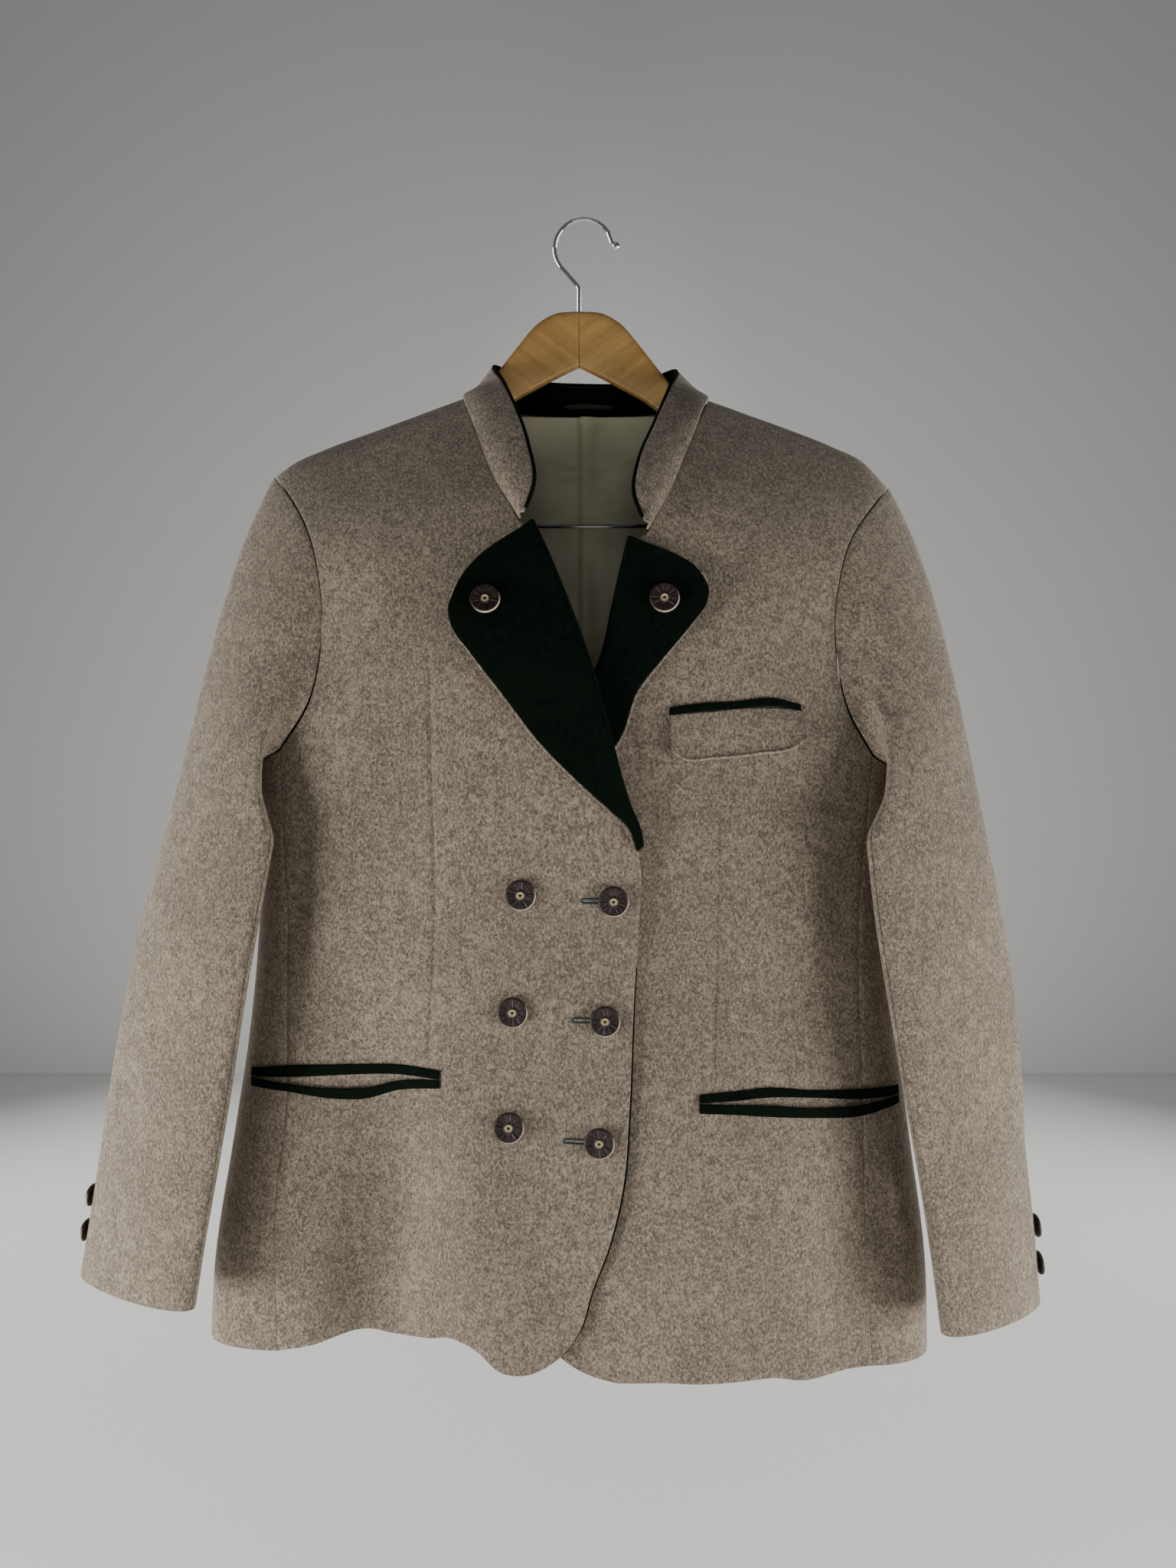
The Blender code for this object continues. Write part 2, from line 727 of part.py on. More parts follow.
def back_panel(side, sign, seam, armhole, neck):
    """Half of the back, from the centre seam to the side panel, the armhole and the shoulder."""
    front = through(seam, np.linspace(0, 1, PANEL_ROWS))
    angle = BACK_SEAM_SHARE * ring_angle(front[:, 0], front[:, 1])
    z = np.linspace(front[0, 1], front[-1, 1], PANEL_ROWS)
    share = np.sin(angle)
    x = centre_x(z) + sign * torso_at(z)[..., 0] * np.cos(angle) * np.sqrt(1 + share * share)
    lower = np.stack([x, z], -1)
    hole = through(back_armhole(armhole), np.linspace(0, 1, 7))
    hole = hole + (lower[-1] - hole[0]) * np.linspace(1, 0, 7)[:, None]
    outer = np.concatenate([lower, hole[1:]])
    inner_z = np.linspace(BACK_HEM, BACK_NECK, len(outer))
    inner = np.stack([centre_x(inner_z), inner_z], -1)
    neck_end = np.asarray(neck[-1])
    shoulder_x = np.linspace(neck_end[0], outer[-1, 0], 7)
    shoulder = np.stack([shoulder_x, shoulder_line(shoulder_x)[..., 0]], -1)
    bend = (inner[-1], (inner[-1] + neck_end) / 2 - (0, BACK_NECK_SAG), neck_end)
    scoop = through(bend, np.linspace(0, 1, 5))
    high = np.concatenate([scoop, shoulder[1:]])
    outer[-1] = high[-1]
    low = np.linspace(inner[0], outer[0], len(high))
    flat = coons(low, high, inner, outer)
    x, z = flat[..., 0], flat[..., 1]
    grid = np.stack([x, back_y(x, z), z], -1)
    grid[-1, 5:, 1] = middle_y(x[-1, 5:], 0)
    cloth(side + "_back", drawn_in(grid), LODEN, "loden", (0, 1, 0))


def sleeve_ring(sign, seam, armhole):
    """The armhole's points and how far round each lies: 0 at the shoulder, 0.5 under the arm."""
    front = through(armhole[::-1], np.linspace(0, 1, 10))
    front = on_front(front[:, 0], front[:, 1])
    front[0, 1] = middle_y(front[0, 0], 0)
    under = underarm(seam)
    under = ring_point(sign, under[:, 0], under[:, 1])
    rear = through(back_armhole(armhole), np.linspace(0, 1, 9))
    rear = rear + (under[-1][[0, 2]] - rear[0]) * np.linspace(1, 0, 9)[:, None]
    rear = np.stack([rear[:, 0], back_y(rear[:, 0], rear[:, 1]), rear[:, 1]], -1)
    rear[-1] = front[0]
    loop = np.concatenate([front[:-1], under[:-1], rear])
    steps = np.concatenate([[0], np.cumsum(np.linalg.norm(np.diff(loop, axis=0), axis=1))])
    return steps / steps[-1], loop


def sleeve_surface(sign, seam, armhole, sections, around, rows):
    """Grid of the sleeve: from the armhole to its upper section, and on through the sections."""
    share, loop = sleeve_ring(sign, seam, armhole)
    turn = np.mod(around, 1.0)
    start = np.stack([np.interp(turn, share, loop[:, i]) for i in range(3)], -1)
    low = smooth((0.30 - abs(turn - 0.5)) / 0.20)
    start[:, 2] += SLEEVE_LIFT_AT_UNDERARM * low
    start[:, 0] += sign * ARMHOLE_GAP
    section = spline(sections)
    top, bottom = sections[0][0], sections[-1][0]

    def slice_at(z):
        outer, inner, middle, half = np.moveaxis(section(z), -1, 0)
        centre = (outer + inner) / 2
        reach = abs(outer - inner) / 2
        long_half = np.sqrt(np.maximum(reach**2 - (half * math.sin(SLEEVE_TILT)) ** 2, 1e-6))
        long_half = long_half / math.cos(SLEEVE_TILT)
        angle = 2 * math.pi * turn
        a = long_half * np.cos(angle)
        b = half * np.sin(angle)
        x = centre + sign * (a * math.cos(SLEEVE_TILT) - b * math.sin(SLEEVE_TILT))
        y = middle + a * math.sin(SLEEVE_TILT) - b * math.cos(SLEEVE_TILT)
        return np.stack([x, y, np.full(len(turn), float(z))], -1)

    first = slice_at(top)
    down = slice_at(top - 0.03) - first
    length = np.linalg.norm(first - start, axis=1)[:, None]
    (head_x, forward, head_z), (arm_x, _, arm_z) = SLEEVE_HEAD, SLEEVE_UNDERARM
    forward = forward * np.sin(2 * math.pi * turn)
    begin = unit(np.stack([np.full(len(turn), sign), forward, head_z + (arm_z - head_z) * low], -1)) * length
    begin[:, 0] *= head_x + (arm_x - head_x) * low
    end = down / 0.03 * length
    grid = []
    for t in np.concatenate([SLEEVE_CAP_ROWS, np.linspace(2 * SLEEVE_CAP_ROWS[-1], 1, rows)]):
        s = t * t * (3 - 2 * t)
        grid.append((1 - s) * start + s * first + t * (1 - t) ** 2 * begin - t * t * (1 - t) * end)
    for z in np.linspace(top, bottom, rows)[1:]:
        grid.append(slice_at(z))
    return np.array(grid)


def sleeves():
    pieces = (
        ("top_sleeve", np.linspace(TOP_SLEEVE_FROM, TOP_SLEEVE_TO, 13)),
        ("under_sleeve", np.linspace(TOP_SLEEVE_TO, 1 + TOP_SLEEVE_FROM, 11)),
    )
    all_round = np.linspace(0, 1, 17)[:-1]
    for side, sign, seam, armhole, sections in SLEEVES:
        whole = sleeve_surface(sign, seam, armhole, sections, all_round, SLEEVE_ROWS)
        centre = whole.mean(axis=1, keepdims=True)
        for name, around in pieces:
            grid = sleeve_surface(sign, seam, armhole, sections, around, SLEEVE_ROWS)
            cloth(side + "_" + name, drawn_in(grid), LODEN, "loden", grid - centre)


def lapel_places(roll, edge, count):
    """Shares up the lapel: x, z on the roll line, the way out to the edge, and the width."""
    up = np.linspace(0, 1, count)
    root = through(roll, up)
    rim = through(edge, up)
    width = np.linalg.norm(rim - root, axis=1)
    return up, root, (rim - root) / width[:, None], width


def lapel_grid(side, roll, edge, outside, inside_length, shy):
    """Rows up the lapel; across, from inside the front round the fold and out to the lapel's edge."""
    up, root, way, width = lapel_places(roll, edge, 13)
    radius = FOLD_RADIUS_LOW + (FOLD_RADIUS_HIGH - FOLD_RADIUS_LOW) * smooth((up - 0.45) / 0.5)
    turn = np.linspace(-math.pi / 2, -3 * math.pi / 2, 6)
    arc_out = (radius[:, None] + outside) * np.cos(turn)
    arc_up = radius[:, None] + (radius[:, None] + outside) * np.sin(turn)
    run = np.linspace(0, 1, 8)[1:]
    run_out = run * (width[:, None] - shy)
    rise = TIP_STAND_OFF * smooth((up - 0.5) / 0.4)[:, None] * run * run
    press = 2 * (radius[:, None] - FOLD_RADIUS_LOW) * LAPEL_PRESS * np.sin(math.pi * run)
    run_up = 2 * radius[:, None] + outside + rise - press
    out = np.concatenate([arc_out - ROLL_GAP, run_out], axis=1)
    height = np.concatenate([arc_up, run_up], axis=1)
    if inside_length:
        back = np.linspace(1, 0.3, 3) * inside_length
        out = np.concatenate([np.broadcast_to(back, (len(up), 3)), out], axis=1)
        height = np.concatenate([np.full((len(up), 3), -INSIDE_GAP), height], axis=1)
    x = root[:, None, 0] + way[:, None, 0] * out
    z = root[:, None, 1] + way[:, None, 1] * out
    base = overlap(x, z) if side == "right" else 0 * x
    return on_front(x, z, base + height)


def in_flat_part(grid, way):
    """A way for the lapel's last columns only, which lie flat past the fold."""
    outward = np.zeros_like(grid)
    outward[:, -4:] = way
    return outward


def lapels():
    for side, roll, edge in LAPELS:
        under = lapel_grid(side, roll, edge, 0.0, 0.0, 0.0)
        cloth(side + "_lapel", under, LODEN, "loden", in_flat_part(under, (0, 1, 0)))
        over = lapel_grid(side, roll, edge, LAID_GAP, FACING_INSIDE, FACING_SHY)
        cloth(side + "_lapel_facing", over, FELT, "green_felt", in_flat_part(over, (0, -1, 0)))


def edge_facing():
    """The felt strip inside the right front's edge, a little proud of it, from the hem's corner up."""
    edge = through(RIGHT_FRONT_EDGE, np.linspace(0, 1, 33))
    edge = edge[edge[:, 1] < EDGE_FACING_TOP][2:]
    along = unit(np.gradient(edge, axis=0))
    out = np.stack([along[:, 1], -along[:, 0]], -1)
    reach = np.array((EDGE_FACING_OUT, -0.4 * EDGE_FACING_IN, -EDGE_FACING_IN))[:, None, None]
    flat = edge + reach * out
    x, z = flat[..., 0], flat[..., 1]
    grid = on_front(x, z, overlap(x, z) - INSIDE_GAP)
    cloth("right_edge_facing", grid, FELT, "green_felt", (0, 1, 0))


def moved(grid, height, outward):
    """The grid moved this far along its own normals, on the side that faces outward."""
    normal = unit(np.cross(np.gradient(grid, axis=1), np.gradient(grid, axis=0)))
    side = np.sign(np.sum(normal * outward, axis=-1, keepdims=True).mean())
    return grid + side * height * normal


def collar_band(shares, rise):
    """The collar between its seam and its edge, bowed outward, and the way outward all round."""
    seam = through(COLLAR_SEAM, shares)
    edge = through(COLLAR_EDGE, shares)
    rise = rise[:, None, None]
    outward = (seam + edge) / 2 - np.array((0.0, 0.0, -0.15))
    outward[:, 2] = 0
    outward = unit(outward)
    band = (1 - rise) * seam + rise * edge + COLLAR_BOW * np.sin(math.pi * rise) * outward
    return band, outward


def collar():
    band, outward = collar_band(np.linspace(0, 1, 26), np.linspace(0, 1, 4))
    seam, edge = band[0], band[-1]
    cloth("collar", band, LODEN, "loden", outward)
    cloth("collar_facing", moved(band, -FELT - COLLAR_GAP, outward), FELT, "green_felt", outward)
    line = edge + outward * (LODEN - FELT) / 2 + unit(edge - seam) * (PIPING_RADIUS + PIPING_GAP)
    wire("collar_piping", line[1:-1], PIPING_RADIUS, "green_felt")


def wire(name, points, radius, finish, swell=()):
    """A round wire or cord along a line of points; swell is how thick its last points are, in radii."""
    data = bpy.data.curves.new(name, "CURVE")
    data.dimensions = "3D"
    data.bevel_depth = radius
    data.bevel_resolution = 2
    data.use_fill_caps = True
    line = data.splines.new("POLY")
    line.points.add(len(points) - 1)
    for point, place in zip(line.points, points):
        point.co = (*place, 1)
    for point, share in zip(line.points[len(points) - len(swell) :], swell):
        point.radius = share
    return add_object(name, data, finish)


def pockets():
    for side, table in (("right", RIGHT_HIP_POCKET), ("left", LEFT_HIP_POCKET)):
        x = np.linspace(table[0][0], table[-1][0], 13)
        edges = spline(table)(x)
        for name, high, low, sag in (("upper", 0, 1, 0.0), ("lower", 2, 3, WELT_SAG)):
            span = np.linspace(0, 1, 3)[:, None]
            z = edges[:, low] * (1 - span) + edges[:, high] * span
            belly = sag * np.sin(math.pi * np.linspace(0, 1, len(x))) * span
            across = np.broadcast_to(x, z.shape)
            base = overlap(across, z) if side == "right" else 0 * z
            grid = on_front(across, z, base + LODEN + WELT_GAP + belly)
            cloth(f"{side}_hip_welt_{name}", grid, FELT, "green_felt", (0, -1, 0))
    x = np.linspace(CHEST_WELT[0][0], CHEST_WELT[-1][0], 7)
    edges = spline(CHEST_WELT)(x)
    span = np.linspace(0, 1, 3)[:, None]
    z = edges[:, 1] * (1 - span) + edges[:, 0] * span
    grid = on_front(np.broadcast_to(x, z.shape), z, LODEN + LAID_GAP + 0 * z)
    cloth("chest_welt", grid, FELT, "green_felt", (0, -1, 0))
    shares = np.linspace(0, 1, 10)
    x = CHEST_FLAP[0][0] + (CHEST_FLAP[-1][0] - CHEST_FLAP[0][0]) * shares
    edges = spline(CHEST_FLAP)(x)
    span = np.linspace(0, 1, 4)[:, None]
    z = edges[:, 1] * (1 - span) + (edges[:, 0] - SEAM_GAP) * span
    stand = FLAP_STAND_OFF * (1 - span) * smooth(abs(shares - 0.4) / 0.6)
    grid = on_front(np.broadcast_to(x, z.shape), z, LODEN + LAID_GAP + stand)
    cloth("chest_flap", grid, LODEN, "loden", (0, -1, 0))


def button(name, place, normal, radius):
    """A turned button with a raised rim and a boss, its foot on the cloth."""
    height = BUTTON_HEIGHT * radius / BUTTON_RADIUS
    shape = bmesh.new()
    points = [shape.verts.new((r * radius, 0, z * height)) for r, z in BUTTON_PROFILE]
    for first, second in zip(points, points[1:]):
        shape.edges.new((first, second))
    mesh = bpy.data.meshes.new(name)
    shape.to_mesh(mesh)
    shape.free()
    piece = add_object(name, mesh, "horn")
    screw = piece.modifiers.new("Turn", "SCREW")
    screw.steps = 12
    screw.render_steps = 12
    screw.use_merge_vertices = True
    screw.merge_threshold = 0.00001
    screw.use_smooth_shade = True
    piece.location = place
    piece.rotation_mode = "QUATERNION"
    piece.rotation_quaternion = Vector(normal).to_track_quat("Z", "Y")
    return piece


def surface_frame(x, z, height):
    """A place over the front surface and the way out of it."""
    place = on_front(np.array(x), np.array(z), np.array(0.0))
    out = on_front(np.array(x), np.array(z), np.array(1.0)) - place
    return place + out * height, out


def closing_buttons():
    for name, x, z in CLOSING_BUTTONS:
        height = float(overlap(np.array(x), np.array(z))) + LODEN + BUTTON_GAP
        place, out = surface_frame(x, z, height)
        button("button_" + name, place, out, BUTTON_RADIUS)


def lapel_buttons():
    """A button on each lapel's felt: its height and tilt are weighted from the nearest points."""
    for (side, roll, edge), (x, z) in zip(LAPELS, (RIGHT_LAPEL_BUTTON, LEFT_LAPEL_BUTTON)):
        grid = lapel_grid(side, roll, edge, LAID_GAP, 0.0, FACING_SHY)
        far = np.hypot(grid[..., 0] - x, grid[..., 2] - z)
        near = (1 / (far + 0.001) ** 3)[..., None]
        ways = moved(grid, 1.0, np.array((0, -1, 0))) - grid
        way = unit((ways * near).sum((0, 1)))
        y = float((grid[..., 1:2] * near).sum() / near.sum())
        place = np.array((x, y, z)) + way * (FELT + LAPEL_BUTTON_GAP)
        button("button_lapel_" + side, place, way, BUTTON_RADIUS)


def cuff_buttons():
    around = CUFF_BUTTON_AT + np.array((-0.02, 0.0, 0.02))
    for side, sign, seam, armhole, sections in SLEEVES:
        grid = sleeve_surface(sign, seam, armhole, sections, around, 3 * SLEEVE_ROWS)
        for number, rise in enumerate(CUFF_BUTTON_HEIGHTS, 1):
            row = int(np.argmin(abs(grid[:, 1, 2] - (sections[-1][0] + rise))))
            way = unit(np.cross(grid[row, 2] - grid[row, 0], grid[row + 1, 1] - grid[row - 1, 1]))
            way = way * sign * np.sign(way[0])
            place = grid[row, 1] + way * (LODEN + CUFF_BUTTON_GAP)
            button(f"button_cuff_{side}_{number}", place, way, CUFF_BUTTON_RADIUS)


def back_lining():
    """The part of the lining that shows in the neck: it hangs inside the back."""
    x = np.linspace(*LINING_X, 10)
    z_top = np.minimum(LINING_TOP, shoulder_line(x)[..., 0] - LINING_UNDER_SHOULDER)
    rise = np.array(LINING_ROWS)[:, None]
    z = LINING_LOW * (1 - rise) + z_top * rise
    x = np.broadcast_to(x, z.shape)
    grid = np.stack([x, back_y(x, z) - LINING_STAND_OFF, z], -1)
    cloth("back_lining", grid, LINING, "lining", (0, -1, 0))


def hanger_arms():
    """Two halves that meet in the middle: rounded sections along each, no wider than its table."""
    for side, sign in (("right", -1), ("left", 1)):
        reach = np.linspace(0, 1, 12) * HANGER_ARM[-1][0]
        rows = spline(HANGER_ARM)(reach)
        turn = np.linspace(0, 2 * math.pi, 13)[:-1]
        middle = (rows[:, 0] + rows[:, 1]) / 2
        half = (rows[:, 0] - rows[:, 1]) / 2
        up = np.sign(np.sin(turn)) * abs(np.sin(turn)) ** ARM_SQUARENESS
        out = np.sign(np.cos(turn)) * abs(np.cos(turn)) ** ARM_SQUARENESS
        x = HANGER_JOINT + sign * (reach + SEAM_GAP / 2)
        y = rows[:, 2, None] + out * ARM_THICK / 2
        z = middle[:, None] + half[:, None] * up
        shape = bmesh.new()
        rings = []
        for i in range(len(reach)):
            rings.append([shape.verts.new((x[i], y[i, j], z[i, j])) for j in range(len(turn))])
        for first, second in zip(rings, rings[1:]):
            for j in range(len(turn)):
                k = (j + 1) % len(turn)
                shape.faces.new((first[j], first[k], second[k], second[j]))
        shape.faces.new(rings[0])
        shape.faces.new(rings[-1])
        bmesh.ops.recalc_face_normals(shape, faces=shape.faces)
        mesh = bpy.data.meshes.new("hanger_arm_" + side)
        shape.to_mesh(mesh)
        shape.free()
        mesh.shade_smooth()
        add_object("hanger_arm_" + side, mesh, "beech")


def hook():
    """Up from the wood, out to the left, round the top, and out to the ball at the end."""
    turn = np.linspace(HOOK_FROM, HOOK_TO, 15)
    circle = HOOK_CENTRE + HOOK_RADIUS * np.stack([np.cos(turn), np.sin(turn)], -1)
    tail, ball = np.array(HOOK_TAIL), np.array(HOOK_BALL)
    across = math.sqrt(1 - (WIRE_RADIUS / HOOK_BALL_RADIUS) ** 2)
    along = np.array((-across, -0.5, 0.0, 0.5, 0.86, 0.98))
    globe = ball + along[:, None] * HOOK_BALL_RADIUS * unit(ball - tail)
    flat = np.concatenate([HOOK_STEM, circle, [tail], globe])
    points = np.stack([flat[:, 0], 0 * flat[:, 0], flat[:, 1]], -1)
    swell = np.sqrt(1 - along**2) * HOOK_BALL_RADIUS / WIRE_RADIUS
    wire("hanger_hook", points, WIRE_RADIUS, "chrome", swell)


def trouser_bar():
    """A thin bar between the arms, its ends turned up to the wood."""
    right = [(-BAR_HALF - past, y, z) for past, y, z in BAR_ENDS]
    flat = [(x, BAR_Y, BAR_Z) for x in np.linspace(BAR_BEND - BAR_HALF, BAR_HALF - BAR_BEND, 5)]
    left = [(-x, y, z) for x, y, z in reversed(right)]
    wire("trouser_bar", right + flat + left, BAR_RADIUS, "chrome")


def hanger_loop():
    """A woven loop across the back of the collar, sewn to its green facing at both ends."""
    across = np.linspace(-0.5, 0.5, 9)
    shares = LOOP_MIDDLE + LOOP_SPAN * across
    band, outward = collar_band(shares, np.array((0.40, 0.52, 0.64)))
    slack = LOOP_SLACK * np.cos(math.pi * across) ** 2
    inward = FELT + COLLAR_GAP + 2 * LAID_GAP
    grid = moved(band, -inward, outward) - outward * slack[:, None]
    cloth("hanger_loop", grid, LOOP_WALL, "green_felt", (0, -1, 0))


for old in list(bpy.data.objects):
    bpy.data.objects.remove(old)
bpy.context.scene.collection.children.link(bpy.data.collections.new(COAT))
FINISHES = {
    "loden": material("loden", (0.22, 0.175, 0.135), 0.95),
    "green_felt": material("green_felt", (0.006, 0.018, 0.012), 0.9),
    "lining": material("lining", (0.16, 0.155, 0.105), 0.5),
    "horn": material("horn", (0.05, 0.03, 0.02), 0.45),
    "beech": material("beech", (0.50, 0.28, 0.11), 0.4),
    "chrome": material("chrome", (0.75, 0.75, 0.75), 0.12, 1.0),
}
body_panels()
sleeves()
lapels()
edge_facing()
collar()
hanger_loop()
pockets()
closing_buttons()
lapel_buttons()
cuff_buttons()
back_lining()
hanger_arms()
hook()
trouser_bar()
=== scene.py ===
"""The looks of a double breasted loden coat on a wooden hanger.

Every cloth piece is a thin shell with rounded edges, worked out as arrays on the same surface that
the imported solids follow, only finer and with the coat's smaller creases. Metres, +Z up.
"""

import math

import bpy
import numpy as np
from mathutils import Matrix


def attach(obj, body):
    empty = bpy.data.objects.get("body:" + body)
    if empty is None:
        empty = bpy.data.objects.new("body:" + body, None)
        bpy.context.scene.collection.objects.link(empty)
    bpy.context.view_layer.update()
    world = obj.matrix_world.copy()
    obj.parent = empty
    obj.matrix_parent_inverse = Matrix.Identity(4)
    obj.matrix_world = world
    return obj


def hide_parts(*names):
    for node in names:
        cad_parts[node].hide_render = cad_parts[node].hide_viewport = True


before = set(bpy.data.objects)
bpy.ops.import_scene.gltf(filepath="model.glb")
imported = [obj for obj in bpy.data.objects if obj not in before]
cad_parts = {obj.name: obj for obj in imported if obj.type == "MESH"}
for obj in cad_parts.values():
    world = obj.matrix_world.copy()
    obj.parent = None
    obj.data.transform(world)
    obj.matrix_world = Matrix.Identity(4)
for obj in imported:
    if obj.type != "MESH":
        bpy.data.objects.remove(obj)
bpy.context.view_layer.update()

# Cloth and gaps
LODEN = 0.0020
FELT = 0.0013
LINING = 0.0010
LOOP_WALL = 0.0015
SEAM_GAP = 0.0003
LAID_GAP = 0.0004
ROLL_GAP = 0.0017
INSIDE_GAP = 0.0008
WELT_LIFT = 0.0005
THREAD_LIFT = 0.0001
COLLAR_GAP = 0.0010
ARMHOLE_GAP = 0.0013
EDGE_TURNS = 4

# Body
SHOULDER_ROUNDING = 0.14
SHOULDER_OPENING = 0.6
SHOULDER_CURVE = 0.25
SHOULDER_CURVE_FADE = 0.12
CENTRE_AT_SHOULDER = -0.003
CENTRE_DRIFT = 0.0125
RING_END = 0.9995
# z, half width, front depth, back depth
TORSO = (
    (-0.93, 0.285, 0.080, 0.030), (-0.84, 0.282, 0.080, 0.030), (-0.74, 0.268, 0.080, 0.030),
    (-0.66, 0.257, 0.080, 0.030), (-0.56, 0.250, 0.080, 0.030), (-0.45, 0.253, 0.079, 0.030),
    (-0.36, 0.257, 0.075, 0.029), (-0.26, 0.258, 0.065, 0.026), (-0.18, 0.256, 0.046, 0.023),
    (-0.09, 0.252, 0.034, 0.020),
)
# x, z
SHOULDER_LINE = (
    (-0.300, -0.2520), (-0.2476, -0.2156), (-0.2358, -0.2064), (-0.2084, -0.1927),
    (-0.1711, -0.1778), (-0.135, -0.1635), (-0.098, -0.1490), (-0.050, -0.1320), (0.0, -0.1250),
    (0.050, -0.1340), (0.103, -0.1510), (0.1358, -0.1635), (0.1694, -0.1766), (0.2024, -0.1909),
    (0.2279, -0.2052), (0.2449, -0.2245), (0.300, -0.2640),
)
# Large folds, then creases: x low, z low, x high, z high, half width, height out, runs out at the hem
FRONT_FOLDS = (
    (-0.165, -0.93, -0.150, -0.58, 0.058, -0.030, True),
    (-0.062, -0.93, -0.075, -0.66, 0.036, 0.015, True),
    (0.105, -0.93, 0.100, -0.60, 0.090, 0.018, True),
    (0.205, -0.93, 0.210, -0.66, 0.028, -0.010, True),
    (-0.205, -0.42, -0.200, -0.25, 0.022, -0.008, False),
    (0.195, -0.42, 0.188, -0.24, 0.022, -0.009, False),
    (-0.215, -0.93, -0.190, -0.74, 0.016, 0.0051, True),
    (-0.122, -0.93, -0.112, -0.76, 0.017, 0.0043, True),
    (-0.030, -0.87, -0.040, -0.78, 0.007, -0.0029, False),
    (-0.005, -0.84, -0.030, -0.76, 0.009, 0.0017, False),
    (0.060, -0.93, 0.064, -0.78, 0.018, -0.0041, True),
    (0.150, -0.93, 0.140, -0.76, 0.016, -0.0035, True),
    (0.244, -0.845, 0.222, -0.765, 0.009, -0.0043, False),
    (0.248, -0.800, 0.236, -0.745, 0.007, 0.0026, False),
    (-0.176, -0.66, -0.196, -0.46, 0.018, 0.0032, False),
    (-0.085, -0.60, -0.066, -0.44, 0.016, -0.0020, False),
    (0.168, -0.62, 0.186, -0.45, 0.016, 0.0032, False),
    (0.060, -0.66, 0.072, -0.50, 0.017, -0.0023, False),
    (0.140, -0.40, 0.150, -0.23, 0.016, 0.0035, False),
    (-0.150, -0.36, -0.166, -0.22, 0.018, 0.0032, False),
    (-0.225, -0.62, -0.212, -0.48, 0.012, -0.0032, False),
)
BACK_FOLDS = (
    (-0.140, -0.93, -0.120, -0.52, 0.050, -0.014, True),
    (0.150, -0.93, 0.125, -0.56, 0.044, -0.013, True),
    (0.020, -0.93, 0.010, -0.60, 0.040, 0.005, True),
    (-0.060, -0.93, -0.052, -0.74, 0.018, -0.0030, True),
    (0.080, -0.93, 0.070, -0.72, 0.017, -0.0032, True),
    (-0.205, -0.93, -0.190, -0.70, 0.016, 0.0030, True),
    (0.214, -0.93, 0.196, -0.74, 0.017, 0.0032, True),
    (-0.155, -0.62, -0.186, -0.40, 0.019, 0.0030, False),
    (0.150, -0.60, 0.180, -0.42, 0.018, 0.0028, False),
    (-0.120, -0.42, -0.165, -0.25, 0.016, -0.0024, False),
    (0.115, -0.44, 0.160, -0.26, 0.015, -0.0026, False),
    (-0.030, -0.30, 0.020, -0.20, 0.020, 0.0016, False),
    (0.030, -0.66, -0.010, -0.50, 0.022, -0.0018, False),
)

SIGN = {"right": -1, "left": 1}

# Fronts: x, z
FRONT_EDGE = {
    "right": (
        (-0.0518, -0.9025), (-0.0422, -0.9025), (-0.0191, -0.8928), (-0.0013, -0.8705),
        (0.0067, -0.8447), (0.0203, -0.8085), (0.0317, -0.7575), (0.0347, -0.7154),
        (0.0383, -0.6200), (0.0420, -0.5600), (0.0430, -0.5300), (0.0405, -0.5080),
    ),
    "left": (
        (0.0260, -0.9126), (0.0044, -0.9077), (-0.0175, -0.8939), (-0.0320, -0.8700),
        (-0.0430, -0.8400), (-0.0550, -0.7900), (-0.0660, -0.7154), (-0.0700, -0.6200),
        (-0.0720, -0.5600), (-0.0715, -0.5120),
    ),
}
ROLL = {
    "right": (
        (0.0395, -0.5030), (0.0312, -0.4817), (0.0158, -0.4268), (0.0044, -0.3838),
        (-0.0152, -0.3288), (-0.0290, -0.2949), (-0.0425, -0.2650),
    ),
    "left": (
        (-0.0706, -0.5060), (-0.0480, -0.4720), (-0.0220, -0.4340), (0.0030, -0.4000),
        (0.0176, -0.3700), (0.0272, -0.3300), (0.0340, -0.3004), (0.0398, -0.2768),
    ),
}
NECK = {
    "right": (
        (-0.0485, -0.2618), (-0.0680, -0.2285), (-0.0845, -0.1870), (-0.0970, -0.1495),
    ),
    "left": (
        (0.0493, -0.2705), (0.0667, -0.2380), (0.0798, -0.2072), (0.0945, -0.1690),
        (0.1020, -0.1512),
    ),
}
HEM = {
    "right": (
        (-0.0518, -0.9025), (-0.0597, -0.9002), (-0.0760, -0.8860), (-0.0950, -0.8815),
        (-0.1172, -0.8867), (-0.1464, -0.8917), (-0.1698, -0.8893), (-0.2066, -0.8956),
        (-0.2350, -0.9000),
    ),
    "left": (
        (0.0260, -0.9126), (0.0630, -0.9118), (0.1021, -0.9096), (0.1381, -0.9092),
        (0.1671, -0.9141), (0.1849, -0.9139), (0.2231, -0.9121),
    ),
}
DART = {
    "right": (
        (-0.1130, -0.8890), (-0.1171, -0.6700), (-0.1149, -0.6346), (-0.1115, -0.5527),
        (-0.1138, -0.4495), (-0.1171, -0.3506), (-0.1350, -0.1635),
    ),
    "left": (
        (0.1000, -0.9097), (0.0992, -0.6900), (0.1025, -0.5655), (0.1049, -0.4634),
        (0.1120, -0.3500), (0.1358, -0.1635),
    ),
}
DART_SPAN = {
    "right": (-0.672, -0.350),
    "left": (-0.692, -0.455),
}
